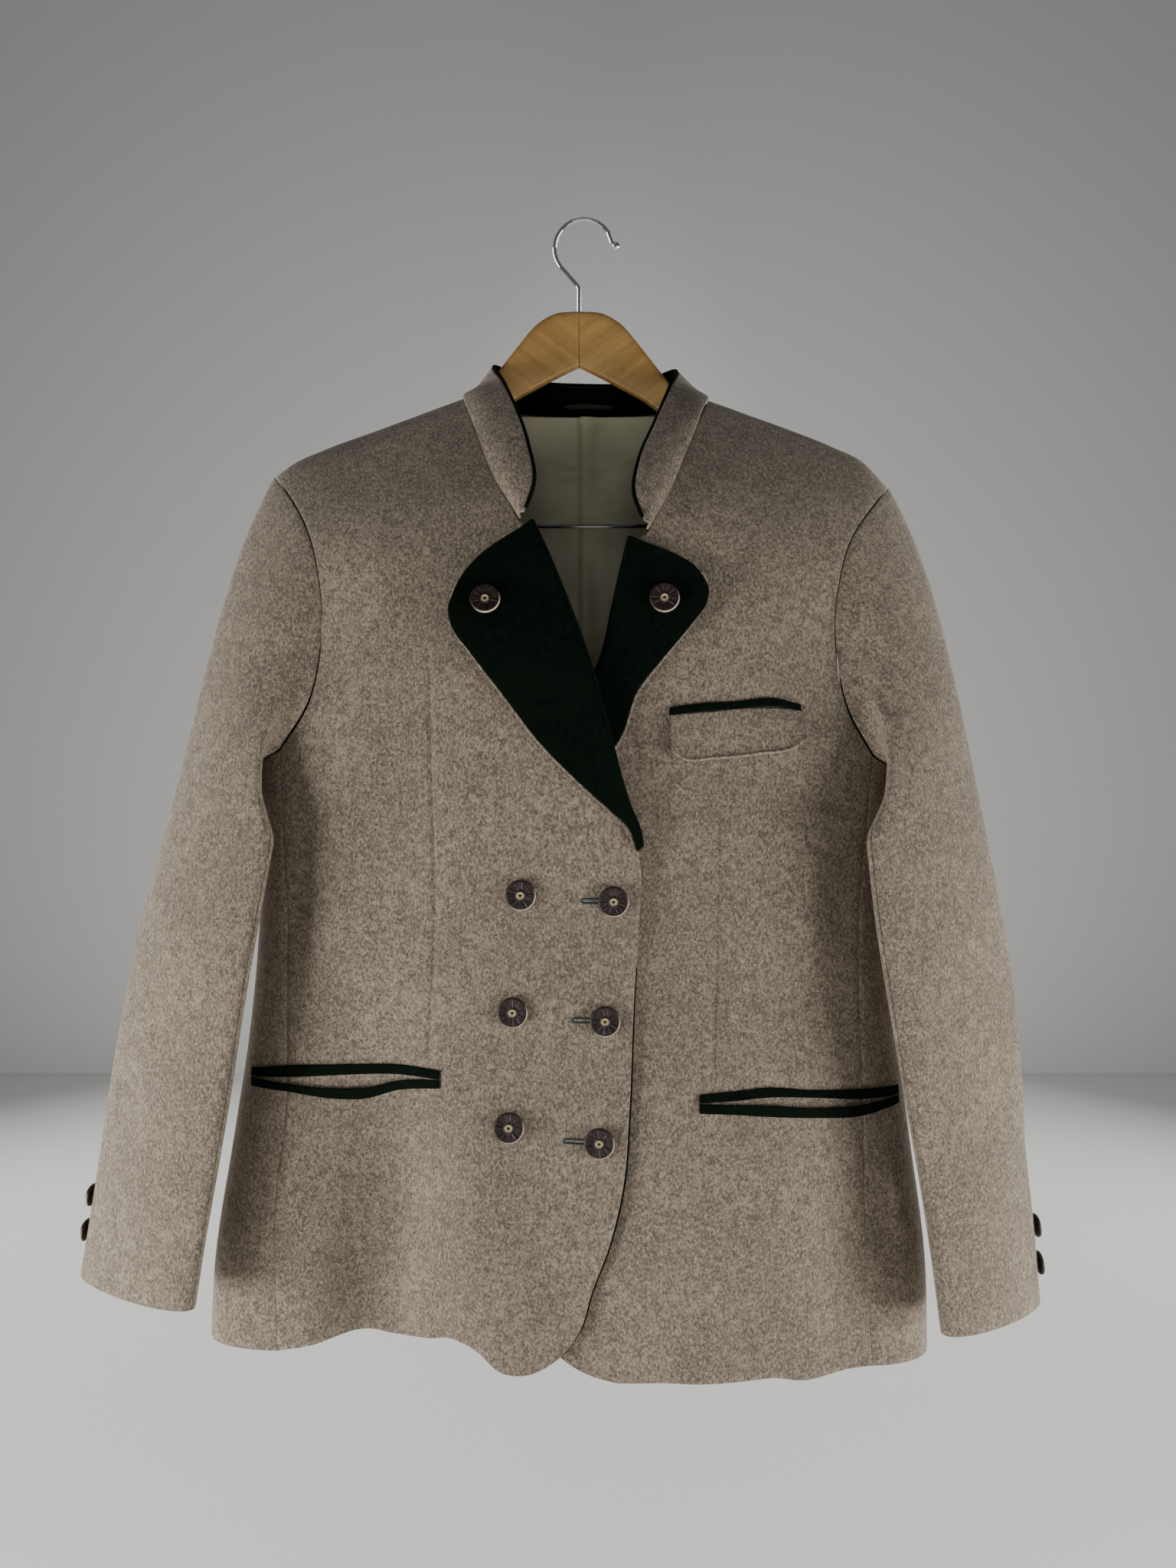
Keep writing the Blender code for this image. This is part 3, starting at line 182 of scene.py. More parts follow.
SIDE_SEAM = {
    "right": (
        (-0.2350, -0.9000), (-0.2380, -0.8224), (-0.2372, -0.7815), (-0.2294, -0.7182),
        (-0.2277, -0.6376), (-0.2279, -0.5773), (-0.2310, -0.5143), (-0.2340, -0.4370),
    ),
    "left": (
        (0.2231, -0.9121), (0.2184, -0.8409), (0.2165, -0.7764), (0.2146, -0.6972),
        (0.2123, -0.6389), (0.2125, -0.5648), (0.2180, -0.5000), (0.2240, -0.4420),
    ),
}
ARMHOLE = {
    "right": (
        (-0.2340, -0.4370), (-0.2120, -0.4040), (-0.2030, -0.3600), (-0.2045, -0.3050),
        (-0.2155, -0.2640), (-0.2290, -0.2400), (-0.2476, -0.2156),
    ),
    "left": (
        (0.2240, -0.4420), (0.2040, -0.4080), (0.1960, -0.3650), (0.1975, -0.3130),
        (0.2090, -0.2720), (0.2260, -0.2470), (0.2449, -0.2245),
    ),
}
DART_HALF_WIDTH = 0.0021
DART_DEPTH = 0.72
# How far it fades in above its lower end and out below its upper end
DART_FADE = (0.008, 0.030)
BACK_ARMHOLE_IN = 0.0096
UNDERARM_DROP = 0.016
BACK_SEAM_SHARE = 0.80
BACK_HEM = -0.902
BACK_NECK = -0.158

# Overlap
OVERLAP = 0.0054
OVERLAP_AT_LAPEL = 0.0098
# Where it starts and is full: x, z below the neck, z of the lapel's lift from below and from above
OVERLAP_IN = (-0.150, -0.080)
OVERLAP_TOP = (-0.26, -0.35)
LAPEL_LIFT_LOW = (-0.60, -0.50)
LAPEL_LIFT_HIGH = (-0.30, -0.38)

# Lapels
FOLD_RADIUS_LOW = 0.0023
FOLD_RADIUS_HIGH = 0.0031
TIP_STAND_OFF = 0.0030
LAPEL_PRESS = 0.6
FACING_INSIDE = 0.012
FACING_SHY = 0.0016
LAPEL_BOW = {"right": 0.0058, "left": 0.0026}
TIP_ROUNDING = {"right": 0.0008, "left": 0.0024}
EDGE_FACING_OUT = 0.0013
EDGE_FACING_IN = 0.0130
EDGE_FACING_TOP = -0.600
LAPEL_EDGE = {
    "right": (
        (0.0388, -0.5150), (0.0330, -0.4985), (0.0182, -0.4838), (-0.0066, -0.4612),
        (-0.0313, -0.4363), (-0.0578, -0.4023), (-0.0840, -0.3672), (-0.0975, -0.3470),
        (-0.1012, -0.3320), (-0.0975, -0.3160),
    ),
    "left": (
        (-0.0640, -0.5160), (-0.0300, -0.4880), (0.0050, -0.4600), (0.0301, -0.4285),
        (0.0420, -0.3950), (0.0610, -0.3700), (0.0830, -0.3420), (0.0945, -0.3250),
        (0.0962, -0.3130), (0.0920, -0.3030),
    ),
}
# The right lapel's fold starts below the roll
LAPEL_ROLL = {"right": ((0.0410, -0.5130), (0.0388, -0.5010)) + ROLL["right"][1:], "left": ROLL["left"]}

# Collar: x, y, z
COLLAR_SEAM = (
    (-0.0470, -0.0700, -0.2590), (-0.0665, -0.0615, -0.2270), (-0.0830, -0.0450, -0.1850),
    (-0.0960, -0.0100, -0.1470), (-0.0900, 0.0130, -0.1470), (-0.0480, 0.0235, -0.1560),
    (0.0, 0.0255, -0.1580), (0.0500, 0.0235, -0.1570), (0.0940, 0.0130, -0.1490),
    (0.1005, -0.0100, -0.1490), (0.0930, -0.0380, -0.1690), (0.0785, -0.0555, -0.2060),
    (0.0650, -0.0660, -0.2380), (0.0480, -0.0730, -0.2680),
)
COLLAR_EDGE = (
    (-0.0450, -0.0790, -0.2575), (-0.0385, -0.0740, -0.2330), (-0.0440, -0.0600, -0.2000),
    (-0.0645, -0.0250, -0.1420), (-0.0730, 0.0000, -0.1215), (-0.0480, 0.0165, -0.1270),
    (0.0, 0.0185, -0.1310), (0.0500, 0.0170, -0.1290), (0.0760, 0.0000, -0.1250),
    (0.0700, -0.0230, -0.1460), (0.0570, -0.0440, -0.1800), (0.0440, -0.0620, -0.2140),
    (0.0400, -0.0730, -0.2400), (0.0465, -0.0810, -0.2650),
)
COLLAR_BOW = 0.004
# The middle of the neck, which the collar's band faces away from
NECK_MIDDLE = (0.0, 0.0, -0.15)
COLLAR_TURN_IN = 0.030
COLLAR_TURN_DOWN = 0.005
# y where the turned in edge starts and ends leaving the neck for the back
COLLAR_TURN_BACK = (-0.022, 0.006)
PIPING_RADIUS = 0.0015
PIPING_OUT = 0.0017
LOOP_MIDDLE = 0.497
LOOP_SPAN = 0.070
LOOP_RISE = (0.36, 0.52)
LOOP_SLACK = 0.0030
LOOP_TAPER = 0.45

# Sleeves: z, x of the outer side, x of the inner side, y of the middle, half thickness
SLEEVE = {
    "right": (
        (-0.510, -0.3335, -0.2345, -0.0600, 0.0260), (-0.570, -0.3495, -0.2445, -0.0620, 0.0260),
        (-0.630, -0.3620, -0.2545, -0.0630, 0.0265), (-0.690, -0.3727, -0.2635, -0.0630, 0.0270),
        (-0.750, -0.3820, -0.2740, -0.0620, 0.0275), (-0.810, -0.3919, -0.2850, -0.0600, 0.0285),
        (-0.855, -0.4000, -0.2920, -0.0590, 0.0300),
    ),
    "left": (
        (-0.510, 0.3170, 0.2120, -0.0720, 0.0240), (-0.570, 0.3300, 0.2190, -0.0700, 0.0250),
        (-0.630, 0.3400, 0.2290, -0.0680, 0.0265), (-0.690, 0.3450, 0.2395, -0.0680, 0.0270),
        (-0.750, 0.3480, 0.2510, -0.0660, 0.0275), (-0.810, 0.3550, 0.2610, -0.0640, 0.0285),
        (-0.874, 0.3610, 0.2700, -0.0620, 0.0300),
    ),
}
SLEEVE_TILT = math.radians(27)
SLEEVE_LIFT_AT_UNDERARM = 0.0027
# How far from the underarm its shape starts and is full, in turns
UNDERARM_TURN = (0.30, 0.10)
# The way out of the armhole: its y, and z and outward bulge at the shoulder and more at the underarm
CAP_WAY_Y = -0.25
CAP_WAY_Z = (-0.9, 0.55)
CAP_BULGE = (0.55, 0.95)
SLEEVE_STEP = 0.03
TOP_SLEEVE_FROM = -0.09
TOP_SLEEVE_TO = 0.43
# turn, z, half turn, half height, slope in z per turn, height outward
SLEEVE_CREASES = (
    (0.20, -0.36, 0.10, 0.016, 0.30, -0.0030), (0.22, -0.43, 0.12, 0.014, 0.26, 0.0027),
    (0.30, -0.50, 0.10, 0.015, 0.22, -0.0032), (0.16, -0.57, 0.11, 0.018, -0.16, 0.0024),
    (0.28, -0.63, 0.10, 0.014, 0.20, -0.0030), (0.12, -0.70, 0.10, 0.018, -0.20, -0.0019),
    (0.25, -0.78, 0.09, 0.016, 0.14, 0.0022), (0.75, -0.42, 0.12, 0.018, -0.24, 0.0032),
    (0.70, -0.53, 0.11, 0.016, -0.20, -0.0032), (0.80, -0.62, 0.10, 0.015, 0.22, 0.0027),
    (0.72, -0.72, 0.12, 0.018, -0.18, -0.0027),
)

# Pockets: x, z upper edge, z upper rim of the mouth, z lower rim, z lower edge
HIP_POCKET = {
    "right": (
        (-0.2570, -0.6846, -0.6912, -0.6918, -0.6986),
        (-0.2284, -0.6805, -0.6893, -0.6940, -0.7001),
        (-0.1900, -0.6790, -0.6871, -0.6973, -0.7058),
        (-0.1705, -0.6787, -0.6864, -0.6972, -0.7062),
        (-0.1407, -0.6785, -0.6859, -0.6906, -0.6981),
        (-0.1073, -0.6808, -0.6875, -0.6880, -0.6944),
    ),
    "left": (
        (0.0873, -0.6970, -0.7032, -0.7037, -0.7105), (0.1140, -0.6950, -0.7018, -0.7050, -0.7118),
        (0.1387, -0.6931, -0.7001, -0.7058, -0.7140), (0.1757, -0.6965, -0.7020, -0.7095, -0.7169),
        (0.2115, -0.6980, -0.7056, -0.7100, -0.7186), (0.2447, -0.6989, -0.7060, -0.7066, -0.7127),
    ),
}
WELT_SAG = 0.0022
CHEST_WELT = (
    (0.0653, -0.4059, -0.4112), (0.0857, -0.4028, -0.4085), (0.1145, -0.4011, -0.4060),
    (0.1475, -0.3985, -0.4043), (0.1660, -0.4029, -0.4074),
)
CHEST_FLAP = (
    (0.0665, -0.4116, -0.4401), (0.0730, -0.4107, -0.4444), (0.0979, -0.4083, -0.4448),
    (0.1308, -0.4056, -0.4416), (0.1599, -0.4070, -0.4362), (0.1690, -0.4085, -0.4300),
)

FLAP_STAND_OFF = 0.0022
FLAP_CURL = 0.0058
FLAP_BEAD = 0.0012
FLAP_BEAD_WIDTH = 0.0020

# Buttons and buttonholes
CLOSING_BUTTONS = (
    ("top_right", -0.0463, -0.5466), ("middle_right", -0.0524, -0.6347),
    ("bottom_right", -0.0553, -0.7213), ("top_left", 0.0227, -0.5514),
    ("middle_left", 0.0166, -0.6415), ("bottom_left", 0.0132, -0.7318),
)
BUTTON_RADIUS = 0.0115
BUTTON_HEIGHT = 0.0045
BUTTON_GAP = 0.0007
BUTTON_GROOVES = (9, 14, 19, 23)
GROOVE_HEIGHT = 0.055
# share of the radius, share of the height
BUTTON_FACE = (
    (0.00, 0.70), (0.08, 0.74), (0.14, 0.93), (0.19, 1.00), (0.23, 0.98), (0.28, 0.84),
    (0.36, 0.74), (0.46, 0.76), (0.56, 0.81), (0.66, 0.86), (0.74, 0.88), (0.82, 0.88),
    (0.88, 0.92), (0.93, 0.90), (0.97, 0.78), (1.00, 0.52),
)
# Below the rim: shares of the radius, shares of the height
BUTTON_BELOW = ((0.95, 0.80, 0.30), (0.28, 0.10, 0.02))
CUFF_BUTTON_GAP = 0.0004
LAPEL_BUTTON_GAP = 0.0007
CUFF_BUTTON_RADIUS = 0.0092
CUFF_BUTTON_HEIGHTS = (0.032, 0.062)
CUFF_BUTTON_AT = -0.045
STITCH_PITCH = 0.0007
STITCH_WAVE = 0.16
LAPEL_BUTTON = {
    "right": (-0.0737, -0.3251),
    "left": (0.0617, -0.3228),
}
# x, z of the end away from the button, x, z of the end under it
BUTTONHOLES = (
    (0.0003, -0.5512, 0.0190, -0.5514), (-0.0066, -0.6411, 0.0130, -0.6415),
    (-0.0126, -0.7311, 0.0095, -0.7318),
)
LAPEL_BUTTONHOLES = (
    ("right", -0.0690, -0.3345, -0.0625, -0.3435), ("left", 0.0560, -0.3335, 0.0505, -0.3420),
)

# Back lining
LINING_X = (-0.150, 0.145)
LINING_LOW = -0.52
LINING_TOP = -0.1590
LINING_UNDER_SHOULDER = 0.022
LINING_STAND_OFF = 0.0035
LINING_PLEAT = 0.0030
LINING_RIPPLE = 0.0016
LINING_REACH = (-0.0012, 0.006)
# slope, z at x = 0, half width, height
LINING_FOLDS = (
    (0.05, -0.1890, 0.0016, -0.0016), (0.30, -0.2010, 0.0030, 0.0022),
    (-0.35, -0.2080, 0.0035, 0.0018), (0.22, -0.2380, 0.0060, 0.0020),
)

# Hanger
ARM_THICK = 0.013
HANGER_JOINT = -0.0035
# distance from the joint, z of the upper side, z of the underside, y of the middle
HANGER_ARM = (
    (0.0, -0.0755, -0.1207, 0.0000), (0.021, -0.0785, -0.1310, -0.0010),
    (0.034, -0.0866, -0.1385, -0.0020), (0.053, -0.1093, -0.1495, -0.0030),
    (0.066, -0.1262, -0.1590, -0.0035), (0.080, -0.1445, -0.1690, -0.0045),
    (0.100, -0.1640, -0.1810, -0.0065), (0.140, -0.1805, -0.1970, -0.0092),
    (0.185, -0.1990, -0.2150, -0.0125), (0.215, -0.2145, -0.2290, -0.0148),
)
ARM_ROWS = 160
ARM_SIDES = 64
ARM_CORNER = 0.42
GLUE_HALF = 0.00013
GLUE_SHARE = 0.985

# The loop's weave
RIB_PITCH = 0.0011
STRAND_PITCH = 0.0008

# Camera and room
CAMERA = (0.0038, -1.0, -0.4634)
FOCAL_PIXELS = 1587
PICTURE_LONG = 2048
SENSOR = 36.0
WALL_Y = 2.6
FLOOR_Z = -1.32
ROOM_HALF = 6
ROOM_TOP = 4
SKY = (0.86, 0.90, 0.95, 1)
SKY_STRENGTH = 0.13
LIT_POINT = (0, 0, -0.5)
# name, place, size, watts
LIGHTS = (
    ("low_left", (-1.15, -0.56, -0.92), 0.5, 19.0),
    ("low_right", (1.15, -0.56, -0.90), 0.5, 16.0),
    ("front", (0.0, -1.8, -0.2), 1.0, 1.8),
    ("back_left", (-1.6, 1.6, 0.2), 1.4, 36),
    ("back_right", (1.7, 1.5, 0.1), 1.4, 31),
)


def spline(table):
    """A smooth cubic through a table's rows; the first column is where, the others are values."""
    rows = np.asarray(table, float)
    where, values = rows[:, 0], rows[:, 1:]
    if where[0] > where[-1]:
        where, values = where[::-1], values[::-1]
    slopes = np.gradient(values, where, axis=0)

    def at(place):
        place = np.clip(np.asarray(place, float), where[0], where[-1])
        i = np.clip(np.searchsorted(where, place, side="right") - 1, 0, len(where) - 2)
        step = (where[i + 1] - where[i])[..., None]
        s = (place - where[i])[..., None] / step
        rise = (3 - 2 * s) * s * s
        value = (1 - rise) * values[i] + rise * values[i + 1]
        value = value + s * (1 - s) ** 2 * step * slopes[i]
        return value - s * s * (1 - s) * step * slopes[i + 1]

    return at


def smooth(share):
    """0 below 0, 1 above 1, and a soft step in between."""
    share = np.clip(share, 0, 1)
    return share * share * (3 - 2 * share)


def run_along(points, axis=0):
    """How far along its path each point lies, or each row or column of a grid on average."""
    steps = np.linalg.norm(np.diff(points, axis=axis), axis=-1)
    if steps.ndim > 1:
        steps = steps.mean(1 - axis)
    return np.concatenate([[0], np.cumsum(steps)])


def ramp(value, start, end):
    return smooth((value - start) / (end - start))


def through(points, shares):
    """Points at these shares of the length of a smooth curve through the given points."""
    points = np.asarray(points, float)
    along = run_along(points)
    return spline(np.column_stack([along / along[-1], points]))(np.asarray(shares, float))


torso_at = spline(TORSO)
shoulder_line = spline(SHOULDER_LINE)


def centre_x(z):
    return CENTRE_AT_SHOULDER + CENTRE_DRIFT * (z + 0.25)


def fold_height(folds, x, z):
    """Sum of soft ridges: a bell across each fold's own line, faded along it."""
    total = np.zeros(np.broadcast(x, z).shape)
    for x_low, z_low, x_high, z_high, half_width, height, at_hem in folds:
        run = np.array((x_high - x_low, z_high - z_low))
        length = np.hypot(*run)
        along = ((x - x_low) * run[0] + (z - z_low) * run[1]) / length**2
        across = ((x - x_low) * run[1] - (z - z_low) * run[0]) / length
        fade = smooth((1 - along) / 0.6)
        if not at_hem:
            fade = fade * smooth(along / 0.4)
        total = total + height * np.exp(-((across / half_width) ** 2)) * fade
    return total


def at_shoulder(x, z):
    """How far below the shoulder line, 0 to 1, and how far the body has opened there."""
    below = np.clip(shoulder_line(x)[..., 0] - z, 0, SHOULDER_ROUNDING) / SHOULDER_ROUNDING
    return below, (1 - (1 - below) ** 2) ** SHOULDER_OPENING


def ring_share(x, z):
    """The share of the depth at x: the fourth root of 1 - s^2, s being x over the half width."""
    sine = np.clip((x - centre_x(z)) / torso_at(z)[..., 0], -RING_END, RING_END)
    return (1 - sine * sine) ** 0.25


def middle_y(x, below):
    return -SHOULDER_CURVE * x * x * np.exp(-below * SHOULDER_ROUNDING / SHOULDER_CURVE_FADE)


def depth_at(x, z, column, folds):
    return torso_at(z)[..., column] + fold_height(folds, x, z)


def front_y(x, z):
    below, opening = at_shoulder(x, z)
    return middle_y(x, below) - depth_at(x, z, 1, FRONT_FOLDS) * ring_share(x, z) * opening


def back_y(x, z):
    below, opening = at_shoulder(x, z)
    return middle_y(x, below) + depth_at(x, z, 2, BACK_FOLDS) * ring_share(x, z) * opening


def on_front(x, z, height=0.0):
    """Points over the front surface, this far out along its normal."""
    step = 0.0015
    x, z = np.broadcast_arrays(np.asarray(x, float), np.asarray(z, float))
    slope_x = (front_y(x + step, z) - front_y(x - step, z)) / (2 * step)
    slope_z = (front_y(x, z + step) - front_y(x, z - step)) / (2 * step)
    normal = np.stack([slope_x, -np.ones_like(x), slope_z], -1)
    normal = normal / np.linalg.norm(normal, axis=-1, keepdims=True)
    return np.stack([x, front_y(x, z), z], -1) + np.asarray(height)[..., None] * normal


def overlap(x, z):
    """The right front's height over the surface."""
    at_lapel = ramp(z, *LAPEL_LIFT_LOW) * ramp(z, *LAPEL_LIFT_HIGH)
    height = OVERLAP + (OVERLAP_AT_LAPEL - OVERLAP) * at_lapel
    return height * ramp(x, *OVERLAP_IN) * ramp(z, *OVERLAP_TOP)


def lap(side, x, z):
    return overlap(x, z) if side == "right" else 0 * z


def coons(low, high, first, last, across=None):
    """The patch between four edges, blended by the shares across it and up it."""
    across = np.linspace(0, 1, len(low)) if across is None else across
    up, across = np.linspace(0, 1, len(first))[:, None, None], across[None, :, None]
    ruled_up = (1 - up) * low[None] + up * high[None]
    ruled_across = (1 - across) * first[:, None] + across * last[:, None]
    corners = (1 - up) * ((1 - across) * low[0] + across * low[-1])
    corners = corners + up * ((1 - across) * high[0] + across * high[-1])
    return ruled_up + ruled_across - corners


def unit(vectors):
    return vectors / np.maximum(np.linalg.norm(vectors, axis=-1, keepdims=True), 1e-9)


def normals_of(grid, outward):
    """The grid's normals, turned to the side that faces outward."""
    normal = unit(np.cross(np.gradient(grid, axis=1), np.gradient(grid, axis=0)))
    facing = np.sum(normal * outward, axis=-1).mean()
    return normal if facing > 0 else -normal


def moved(grid, height, outward):
    return grid + height * normals_of(grid, outward)


def new_mesh(name, points, quads, loop_uv=None):
    mesh = bpy.data.meshes.new(name)
    mesh.from_pydata(points.reshape(-1, 3), [], quads)
    mesh.validate()
    if loop_uv is not None:
        layer = mesh.uv_layers.new(name="cut")
        index = np.empty(len(mesh.loops), np.int32)
        mesh.loops.foreach_get("vertex_index", index)
        layer.data.foreach_set("uv", loop_uv[index].astype(np.float32).ravel())
    mesh.shade_smooth()
    return mesh


def grid_quads(rows, columns, start=0, wrap=False):
    i = np.arange(rows - 1)[:, None] * columns
    j = np.arange(columns if wrap else columns - 1)[None]
    k = (j + 1) % columns
    quads = np.stack([i + j, i + k, i + columns + k, i + columns + j], -1)
    return quads.reshape(-1, 4) + start


def facing_of(points, quads):
    corners = points[quads[:, :3]]
    return np.cross(corners[:, 1] - corners[:, 0], corners[:, 2] - corners[:, 0])


def ring_solid(name, rings, tips=None, looped=False, uv=None):
    """A closed mesh through rings of points, turned to face out.

    A looped one's last ring joins its first. Any other closes at each end, with a fan to the tip
    there or with one flat face.
    """
    rows, sides = rings.shape[:2]
    points = rings.reshape(-1, 3)
    quads = grid_quads(rows + looped, sides, wrap=True) % len(points)
    faces = quads.tolist()
    first = np.arange(sides)[::-1]
    last = first[::-1] + (rows - 1) * sides
    if tips is not None:
        for number, ring in enumerate((first, last), len(points)):
            faces += np.stack([np.full(sides, number), ring, np.roll(ring, -1)], -1).tolist()
        points = np.concatenate([points, tips])
    elif not looped:
        faces += [first.tolist(), last.tolist()]
    from_middle = points[quads[:, 0]] - points.mean(0)
    if np.sum(facing_of(points, quads) * from_middle) < 0:
        faces = [face[::-1] for face in faces]
    return new_mesh(name, points, faces, uv)


def border(rows, columns):
    """The indices of a grid's border, once round."""
    index = np.arange(rows * columns).reshape(rows, columns)
    return np.concatenate([index[0, :-1], index[:-1, -1], index[-1, :0:-1], index[:0:-1, 0]])


def shell(name, grid, wall, outward):
    """A sheet of cloth: inner layer on the grid, outer layer a wall away, and a half round edge.

    The edge is the wall's middle line plus half the wall times cos(a) of the normal and sin(a) of
    the way out of the sheet, for a from the outer layer to the inner one.
    """
    rows, columns = grid.shape[:2]
    normal = normals_of(grid, outward)
    wall = np.broadcast_to(np.asarray(wall, float), (rows, columns))[..., None]
    middle = grid + normal * wall / 2
    out = np.zeros_like(grid)
    out[0] += unit(middle[0] - middle[1])
    out[-1] += unit(middle[-1] - middle[-2])
    out[:, 0] += unit(middle[:, 0] - middle[:, 1])
    out[:, -1] += unit(middle[:, -1] - middle[:, -2])
    out = out - normal * np.sum(out * normal, -1, keepdims=True)
    rim = np.linalg.norm(out, axis=-1) > 1e-6
    out[rim] = unit(out[rim])
    middle = middle - out * np.minimum(wall / 2 - SEAM_GAP / 4, 0.4 * wall)
    ring = border(rows, columns)
    flat_normal = normal.reshape(-1, 3)
    flat_middle = middle.reshape(-1, 3)
    half = (wall / 2).reshape(-1, 1)
    outer = flat_middle + flat_normal * half
    inner = flat_middle - flat_normal * half
    angles = np.linspace(0, math.pi, EDGE_TURNS + 1)[1:-1, None, None]
    arcs = flat_middle[ring] + half[ring] * (
        np.cos(angles) * flat_normal[ring] + np.sin(angles) * out.reshape(-1, 3)[ring]
    )
    count = rows * columns
    points = np.concatenate([outer, inner, arcs.reshape(-1, 3)])
    first = grid_quads(rows, columns)
    second = first[:, ::-1] + count
    arc_rings = 2 * count + np.arange((EDGE_TURNS - 1) * len(ring)).reshape(EDGE_TURNS - 1, -1)
    rings = [ring, *arc_rings, ring + count]
    strips = [np.stack([a, b, np.roll(b, -1), np.roll(a, -1)], -1) for a, b in zip(rings, rings[1:])]
    quads = np.concatenate([first, second, *strips])
    if np.sum(facing_of(points, first) * flat_normal[first[:, 0]]) < 0:
        quads = quads[:, ::-1]
    uv = np.stack(np.meshgrid(run_along(grid, 1), run_along(grid)), -1).reshape(-1, 2)
    uv = np.concatenate([uv, uv, np.tile(uv[ring], (EDGE_TURNS - 1, 1))])
    return new_mesh(name, points, quads.tolist(), uv)


def add(name, data, place=(0, 0, 0), turn=(0, 0, 0)):
    thing = bpy.data.objects.new(name, data)
    thing.location = place
    thing.rotation_euler = turn
    bpy.context.scene.collection.objects.link(thing)
    return thing


def show(mesh, finish, nodes=()):
    """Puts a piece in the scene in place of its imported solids."""
    piece = add(mesh.name, mesh)
    mesh.materials.append(FINISHES[finish])
    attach(piece, "root")
    if nodes:
        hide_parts(*nodes)
    return piece


def cloth(name, grid, wall, finish, outward):
    """A cloth piece and its cut: as long and wide as its surface, and of its surface's area."""
    piece = show(shell("cloth_" + name, grid, wall, outward), finish, [name])


def front_grid(side):
    """Two patches that meet on the dart, and the wall's thickness, pressed in along it."""
    dart = DART[side]
    span_low, span_high = DART_SPAN[side]
    inner = np.concatenate(
        [
            through(FRONT_EDGE[side], np.linspace(0, 1, 78)),
            through(ROLL[side], np.linspace(0, 1, 48))[1:],
            through(NECK[side], np.linspace(0, 1, 30) ** 0.9),
        ]
    )
    outer = np.concatenate(
        [
            through(SIDE_SEAM[side], np.linspace(0, 1, 84)),
            through(ARMHOLE[side], np.linspace(0, 1, 72))[1:],
        ]
    )
    top_x = np.array((inner[-1, 0], dart[-1][0], outer[-1, 0]))
    ends = np.stack([top_x, shoulder_line(top_x)[..., 0]], -1)
    inner[-1], outer[-1] = ends[0], ends[2]
    hem_at = spline(HEM[side])
    up = np.linspace(0, 1, len(inner))
    share = (dart[0][0] - inner[0, 0]) / (outer[0, 0] - inner[0, 0])
    z = (1 - share) * inner[:, 1] + share * outer[:, 1]
    z = z + (1 - up) * (hem_at(dart[0][0])[0] - z[0]) + up * (ends[1, 1] - z[-1])
    dart_x = spline([(row[1], row[0]) for row in dart])(z)[:, 0]
    middle = np.stack([dart_x, z], -1)
    close = np.array((0.965, 0.982, 0.993, 1.0))
    first = np.concatenate([np.linspace(0, 0.95, 42), close])
    last = np.concatenate([1 - close[::-1], np.linspace(0.06, 1, 30)])
    halves = []
    for shares, a, b in ((first, inner, middle), (last, middle, outer)):
        x = a[0, 0] + (b[0, 0] - a[0, 0]) * shares
        low = np.stack([x, hem_at(x)[:, 0]], -1)
        x = a[-1, 0] + (b[-1, 0] - a[-1, 0]) * shares
        high = np.stack([x, shoulder_line(x)[:, 0]], -1)
        low[0], low[-1], high[0], high[-1] = a[0], b[0], a[-1], b[-1]
        halves.append(coons(low, high, a, b, across=shares))
    flat = np.concatenate([halves[0], halves[1][:, 1:]], axis=1)
    x, z = flat[..., 0], flat[..., 1]
    grid = on_front(x, z, lap(side, x, z))
    grid[-1] = np.stack([x[-1], middle_y(x[-1], 0), z[-1]], -1)
    column = len(first) - 1
    away = np.abs(x - x[:, column : column + 1])
    in_span = smooth((z - span_low) / DART_FADE[0]) * smooth((span_high - z) / DART_FADE[1])
    groove = np.exp(-((away / DART_HALF_WIDTH) ** 2)) * in_span
    return grid, LODEN * (1 - DART_DEPTH * groove)


def ring_x(side, angle, z):
    share = np.sin(angle)
    reach = np.cos(angle) * np.sqrt(1 + share * share)
    return centre_x(z) + SIGN[side] * torso_at(z)[..., 0] * reach


def ring_point(side, angle, z):
    """A point of the body's ring: angle 0 is the very side, 90 degrees is the centre front."""
    x = ring_x(side, angle, z)
    share = np.sin(angle)
    below, opening = at_shoulder(x, z)
    depth = np.where(share > 0, depth_at(x, z, 1, FRONT_FOLDS), depth_at(x, z, 2, BACK_FOLDS))
    return np.stack([x, middle_y(x, below) - depth * share * opening, z], -1)


def ring_angle(x, z):
    return np.arcsin(ring_share(x, z))


def underarm(side, count=33):
    """The armhole under the arm: angle and z, from the front side seam round to the back one."""
    x, z = SIDE_SEAM[side][-1]
    start = ring_angle(np.array(x), np.array(z))
    shares = np.linspace(0, 1, count)
    angle = start * (1 - shares * (1 + BACK_SEAM_SHARE))
    drop = UNDERARM_DROP * np.sin(math.pi * shares) ** 0.8
    return np.stack([angle, z - drop], -1)


def seam_angles(side, rows=100):
    """The angle and z of points up the front side seam."""
    x, z = through(SIDE_SEAM[side], np.linspace(0, 1, rows)).T
    return ring_angle(x, z), z


def side_grid(side):
    angle, z = seam_angles(side)
    high = underarm(side)
    back_angle = -BACK_SEAM_SHARE * angle
    first = np.stack([angle, z], -1)
    last = np.stack([back_angle, np.linspace(z[0], high[-1, 1], len(z))], -1)
    low = np.linspace(first[0], (back_angle[0], z[0]), len(high))
    flat = coons(low, high, first, last)
    return ring_point(side, flat[..., 0], flat[..., 1])


def back_armhole(side):
    points = np.array(ARMHOLE[side])
    points[:, 0] += SIGN[side] * BACK_ARMHOLE_IN * np.sin(np.linspace(0, math.pi, len(points)))
    return points


